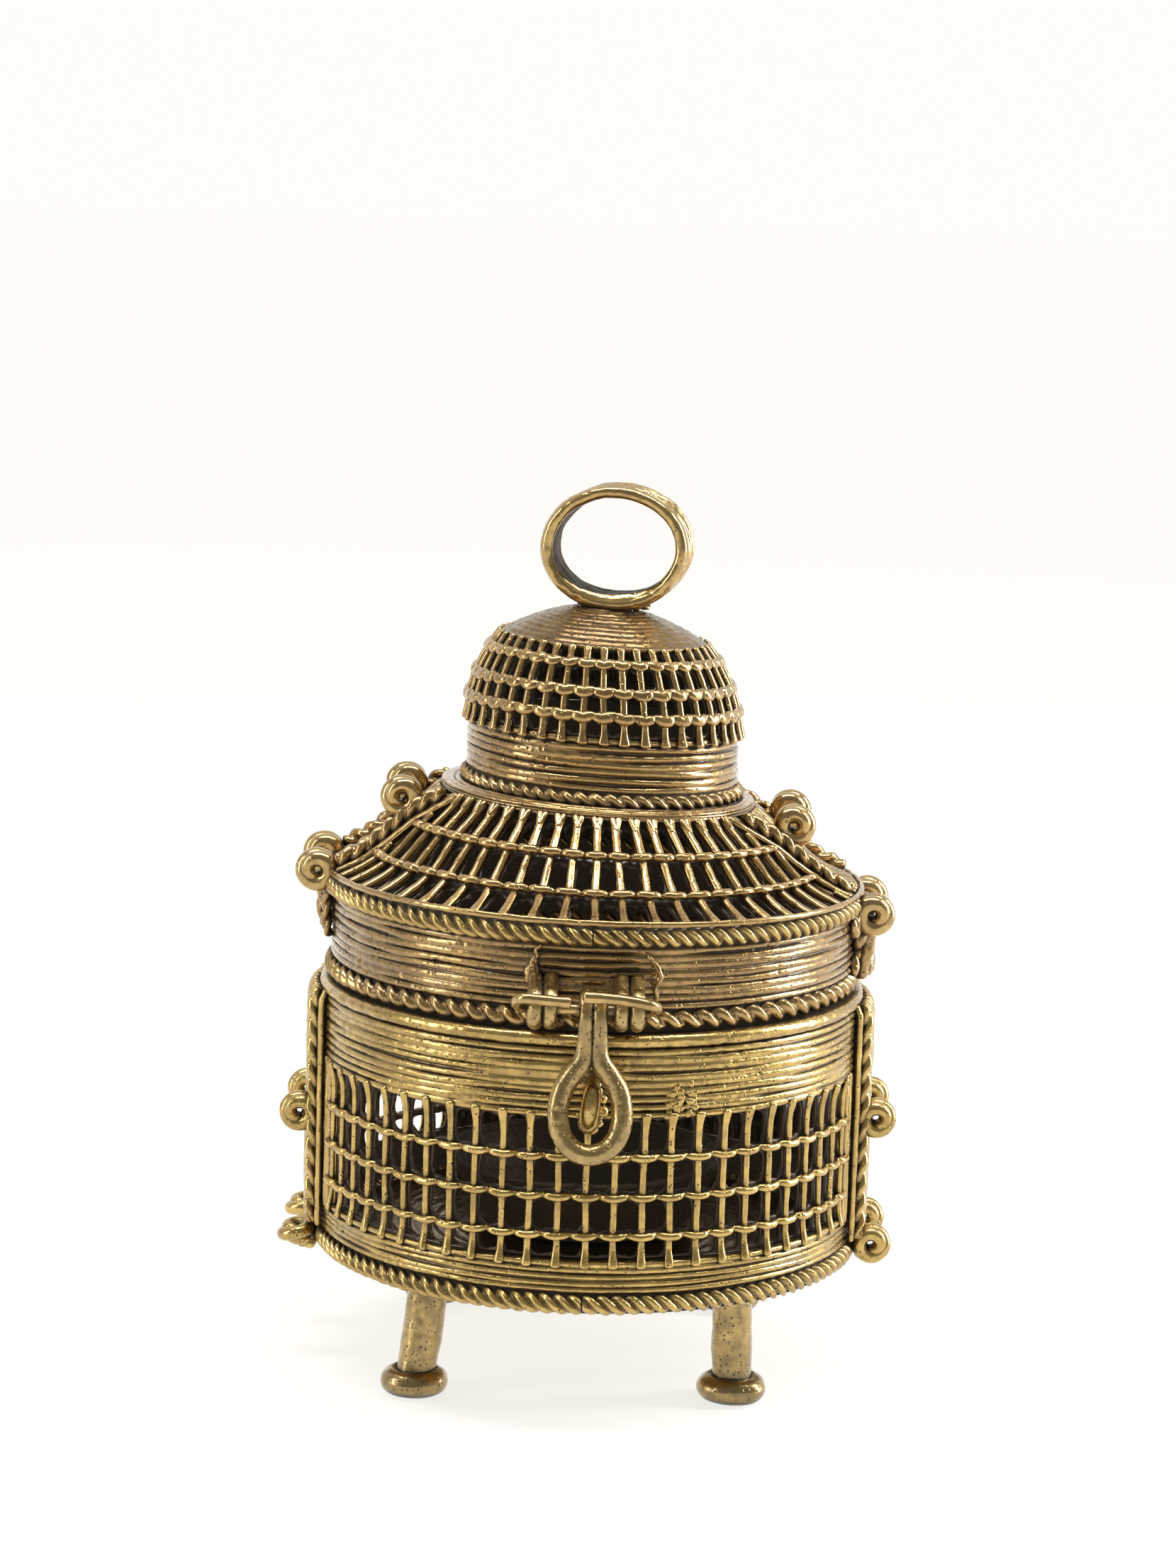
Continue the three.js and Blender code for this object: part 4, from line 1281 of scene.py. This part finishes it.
def hasp_knuckles():
    band = -49.2
    for side, xs in (("left", (-10.0, -7.35)), ("right", (5.35, 8.05))):
        piece = Piece("hasp_knuckle_" + side, OLIVE)
        eye_wires(piece, PIN, 2.42, 1.34, xs, [[0, band, 76.7], [0, -52.3, 76.4]],
                  [[0, -52.2, 82.2], [0, band, 83.4]], 81)
        piece.finish()


def hasp_pin():
    points = [
        [-3.6, -59.9, 81.3], [-8.0, -60.0, 81.6], [-11.9, -59.8, 81.8], [-13.3, -57.3, 80.6],
        [-11.9, -54.6, 79], [-6, -54.6, 79], [4.2, -54.6, 79], [10, -54.6, 79],
        [11.5, -57.3, 80.2], [10, -59.9, 81.3], [5.0, -60.1, 82.1], [-1.6, -59.9, 82.4],
    ]
    path = spline(points, 240)
    s = lengths(path)
    swell = 1 + 0.16 * bump(s, s[-1] - 1.5, 2.0) + 0.08 * bump(s, 0, 1.5)
    piece = Piece("hasp_pin")
    wire(piece, path, 1.0 * swell, sides=20, count=240, blunt=0.45,
         rough=skin(0.05, 2.0, 0.03, 83))
    piece.finish()


def hasp():
    """One wire bent into a drop-shaped loop, both of its ends hooked over the pin."""
    half = [
        [1.2, 1.6, -3.9], [1.2, 2.2, -1.2], [1.2, 1.5, 1.8], [1.2, -0.2, 2.45],
        [1.2, -1.9, 1.5], [1.2, -2.3, -1.5], [1.2, -1.3, -4.6], [1.25, -0.5, -7.4],
        [1.7, -0.1, -9.4], [3.2, 0, -11.4], [4.8, 0, -14.0], [5.6, 0, -17.2], [5.5, 0, -20.2],
        [4.6, 0, -22.9], [2.6, 0, -24.9],
    ]
    other = [[-x, y, z] for x, y, z in half[::-1]]
    path = spline(half + [[0, 0, -25.6]] + other, 300)
    s = lengths(path)
    reach = np.minimum(s, s[-1] - s)
    gauge = 1.42 + 0.5 * step(15, 22, reach) - 0.35 * step(7, 2, reach)
    piece = Piece("hasp", OLIVE)
    wire(piece, path, gauge, sides=28, count=300,
         rough=skin(0.07, 2.6, 0.2, 91))
    stem = np.array([
        [0.1, -1.2, 2.2], [0.1, -2.5, 0.4], [0.1, -2.6, -2.4], [0, -1.5, -5.6], [0, -0.8, -8.4],
        [0, -0.5, -10.2],
    ])
    path = spline(stem, 50)
    narrow = 1 - 0.45 * step(-7.5, -10.2, path[:, 2])
    wire(piece, path + [0, 0.9, 0], 1.3 * narrow + 0.15 * wave(path[:, 2], 1.2, 5), sides=26,
         count=90, out=(0, -1, 0), flat=0.62, rough=skin(0.22, 1.0, 0.3, 93))
    piece.turn(-HASP_HANG, "X", PIN)
    piece.finish()


def staple():
    low, high = box("staple")
    middle = (low[2] + high[2]) / 2
    points = [
        [0, -50.2, 65.6], [0, -53.2, 65.4], [0, -55.2, 64.5], [0, -56.0, 62.5], [0, -56.0, 60.1],
        [0, -55.2, 58.4], [0, -53.2, 57.6], [0, -50.2, 57.6],
    ]
    path = spline(points, 90)
    path[:, 0] += 0.25 + (path[:, 2] - middle) * 0.12
    fuller = 1.82 - 0.35 * step(60, 66, path[:, 2]) - 0.3 * step(-55.6, -54, path[:, 1])
    piece = Piece("staple")
    wire(piece, path, fuller, sides=28, count=90,
         rough=skin(0.06, 2.4, 0.03, 97))
    for k in range(8):
        spot = [1.6 + 0.9 * hashed(k, 2, 9, 1), -51.7 + 0.25 * hashed(k, 1, 7, 3), 56.6 + 1.15 * k]
        blob(piece, spot, 0.95 + 0.3 * hashed(k, 8, 1, 1), seed=k, sides=14)
    piece.finish()


HINGE_EYE = 2.3  # from the middle of the hinge's pin to the middle of the wires round it


def hinge_eyes(name, tail, start, end, count, inset, gauge, seed):
    """Wires side by side that leave the wall along tail and go round the hinge's pin."""
    low, high = box(name)
    piece = Piece(name)
    for k, x in enumerate(np.linspace(low[0] + inset, high[0] - inset, count)):
        points = np.array([*tail, *wrap(HINGE, HINGE_EYE, start, end, 14)])
        wire(piece, spline(points * [0, 1, 1] + [x, 0, 0], 70), gauge, sides=18, count=70,
             out=(1, 0, 0), rough=skin(0.07, 1.8, 0.08, seed + k))
    piece.finish()


def hinge():
    hinge_eyes("body_hinge_knuckle", [[0, 51.8, 68.9], [0, 52.4, 70.6], [0, 54.2, 72.6]],
               -70, -300, 5, 1.05, 0.98, 101)
    for side in ("left", "right"):
        hinge_eyes("lid_hinge_knuckle_" + side, [[0, 50.2, 81.9], [0, 51.6, 80.8], [0, 53.8, 78.9]],
                   70, 300, 3, 0.95, 0.9, 111)
    low, high = box("hinge_pin")
    piece = Piece("hinge_pin")
    path = np.linspace([low[0] + 0.2, *HINGE[1:]], [high[0] - 0.2, *HINGE[1:]], 60)
    ends = sum(bump(path[:, 0], x, 0.7) for x in (low[0] + 0.8, high[0] - 0.8))
    wire(piece, path, 1.22 + 0.75 * ends, sides=20, count=80, blunt=0.4,
         rough=skin(0.04, 2.0, seed=121))
    piece.finish()


def ember_cup():
    _, radius, low, high = turned_box("ember_cup")
    outline = [[0.4, low + 0.05]] + [[r, low + 0.05] for r in np.linspace(2, 15, 12)]
    outline += smooth_outline([[16.0, low + 0.2], [20.0, 27.2], [23.2, 32.4], [26.0, 38.0],
                               [radius - 0.5, high - 0.6]], 40).tolist()
    outline += arc((radius - 0.95, high - 0.85), 0.8, 0, 180, 9)
    outline += smooth_outline([[24.6, 38.4], [18.9, 29.2], [15.0, 27.5]], 36).tolist()
    outline += [[r, 27.1] for r in np.linspace(14, 0.4, 14)]
    piece = Piece("ember_cup")
    turned(piece, outline, 260, solid=True, rough=skin(0.22, 4.5, 0.1, 131))
    piece.finish()


# ---- everything ----

floor_plate()
band("lower_band", 5, -0.1, 2.0, -0.05, 0.35, 11, 0.14)
band("upper_band", 9, 0.15, 1.9, 0.35, 0.15, 23, 0.14, details=(rough_patch,))
rim_lip()
ring_rope("base_rope", 121, strands=3, fuller=1.28, backing=(0.2, 0.6), seed=1)
ring_rope("lid_rope", 86, fuller=1.24, backing=(0.62, 0.5), raised=0.2, seed=2)
ring_rope("shoulder_rope", 118, strands=3, fuller=1.28, backing=(0.5, 0.7), seed=3)
ring_rope("dome_rope", 58, fuller=1.15, backing=(0.3, 0.4), seed=4)
openwork_wall("front", 0.0, 100)
openwork_wall("back", 180.0, 200)
side_ropes()
knobs()
for corner in ("front_left", "front_right", "back_left", "back_right"):
    leg(corner)
    foot(corner)
band("lid_band", 8, 0.05, 1.9, 0.2, 0.4, 37, 0.2, look=RUDDY, details=(lid_straps, casting_flaws))
collar_and_drum()
openwork_cone("front", 0.0, 300)
openwork_cone("back", 180.0, 400)
ridge_ropes()
openwork_dome()
dome_cap()
ring_handle()
hasp_knuckles()
hasp_pin()
hasp()
staple()
hinge()
ember_cup()

# ---- the studio ----

CAMERA_AT = np.array([-1.87, -694.1, 219.8])
CAMERA_DOWN, CAMERA_ROLL = math.radians(8.93), math.radians(1.77)
PAPER = (1.0, 0.982, 0.939)
FLOOR_REACH, FLOOR_Z = 40.0, -0.0001  # in metres, just under the feet
AIM = Vector((0, 0, 0.08))  # what the lamps point at


def camera():
    """Stands where the photo's camera stood, and is rolled as it was."""
    data = bpy.data.cameras.new("camera")
    data.lens = 85
    data.sensor_width = 36
    data.clip_end = 200
    made = placed("camera", data)
    down, roll = CAMERA_DOWN, CAMERA_ROLL
    right = Vector((math.cos(roll), math.sin(down) * math.sin(roll),
                    math.cos(down) * math.sin(roll)))
    up = Vector((-math.sin(roll), math.sin(down) * math.cos(roll),
                 math.cos(down) * math.cos(roll)))
    back = right.cross(up)
    turn = Matrix((right, up, back)).transposed().to_4x4()
    made.matrix_world = Matrix.Translation(Vector(CAMERA_AT * MM)) @ turn
    bpy.context.scene.camera = made


def floor():
    mesh = bpy.data.meshes.new("floor")
    square = ((-1, -1), (1, -1), (1, 1), (-1, 1))
    corners = [(x * FLOOR_REACH, y * FLOOR_REACH, FLOOR_Z) for x, y in square]
    mesh.from_pydata(corners, [], [(0, 1, 2, 3)])
    material, _, shader = new_material("paper")
    fill(shader, base_color=(0.22, 0.216, 0.207, 1), roughness=0.9, emission_color=(*PAPER, 1),
         emission_strength=0.8)
    mesh.materials.append(material)
    placed("floor", mesh)


def softbox(name, azimuth, elevation, distance, size, power):
    """A square lamp at azimuth degrees from the front towards +X, aimed at the object."""
    data = bpy.data.lights.new(name, "AREA")
    data.shape = "RECTANGLE"
    data.size, data.size_y = size
    data.energy = power
    made = placed(name, data)
    a, e = math.radians(azimuth), math.radians(elevation)
    where = Vector((math.sin(a) * math.cos(e), -math.cos(a) * math.cos(e), math.sin(e)))
    made.location = AIM + where * distance
    made.rotation_euler = where.to_track_quat("Z", "Y").to_euler()


def sky():
    """Dim light from behind the camera, brighter from behind the object."""
    world = bpy.data.worlds.new("studio")
    bpy.context.scene.world = world
    world.use_nodes = True
    tree = world.node_tree
    background = tree.nodes["Background"]
    split = tree.nodes.new("ShaderNodeSeparateXYZ")
    tree.links.new(tree.nodes.new("ShaderNodeTexCoord").outputs["Generated"], split.inputs[0])
    spread = maths(tree, "MULTIPLY_ADD", split.outputs["Y"], 0.5, 0.5)
    shade = ramp(tree, spread, (0.1, 0.3), (0.45, 0.42), (0.8, 1.0))
    tree.links.new(blend(tree, 1.0, shade, PAPER, "MULTIPLY"), background.inputs["Color"])


camera()
floor()
sky()
softbox("right", 98, 20, 1.0, (0.13, 0.8), 13.0)
softbox("left", -70, 18, 1.1, (0.2, 0.8), 4.0)
softbox("over", 0, 84, 0.8, (0.9, 0.08), 7.0)
bpy.context.scene.view_settings.view_transform = "Standard"
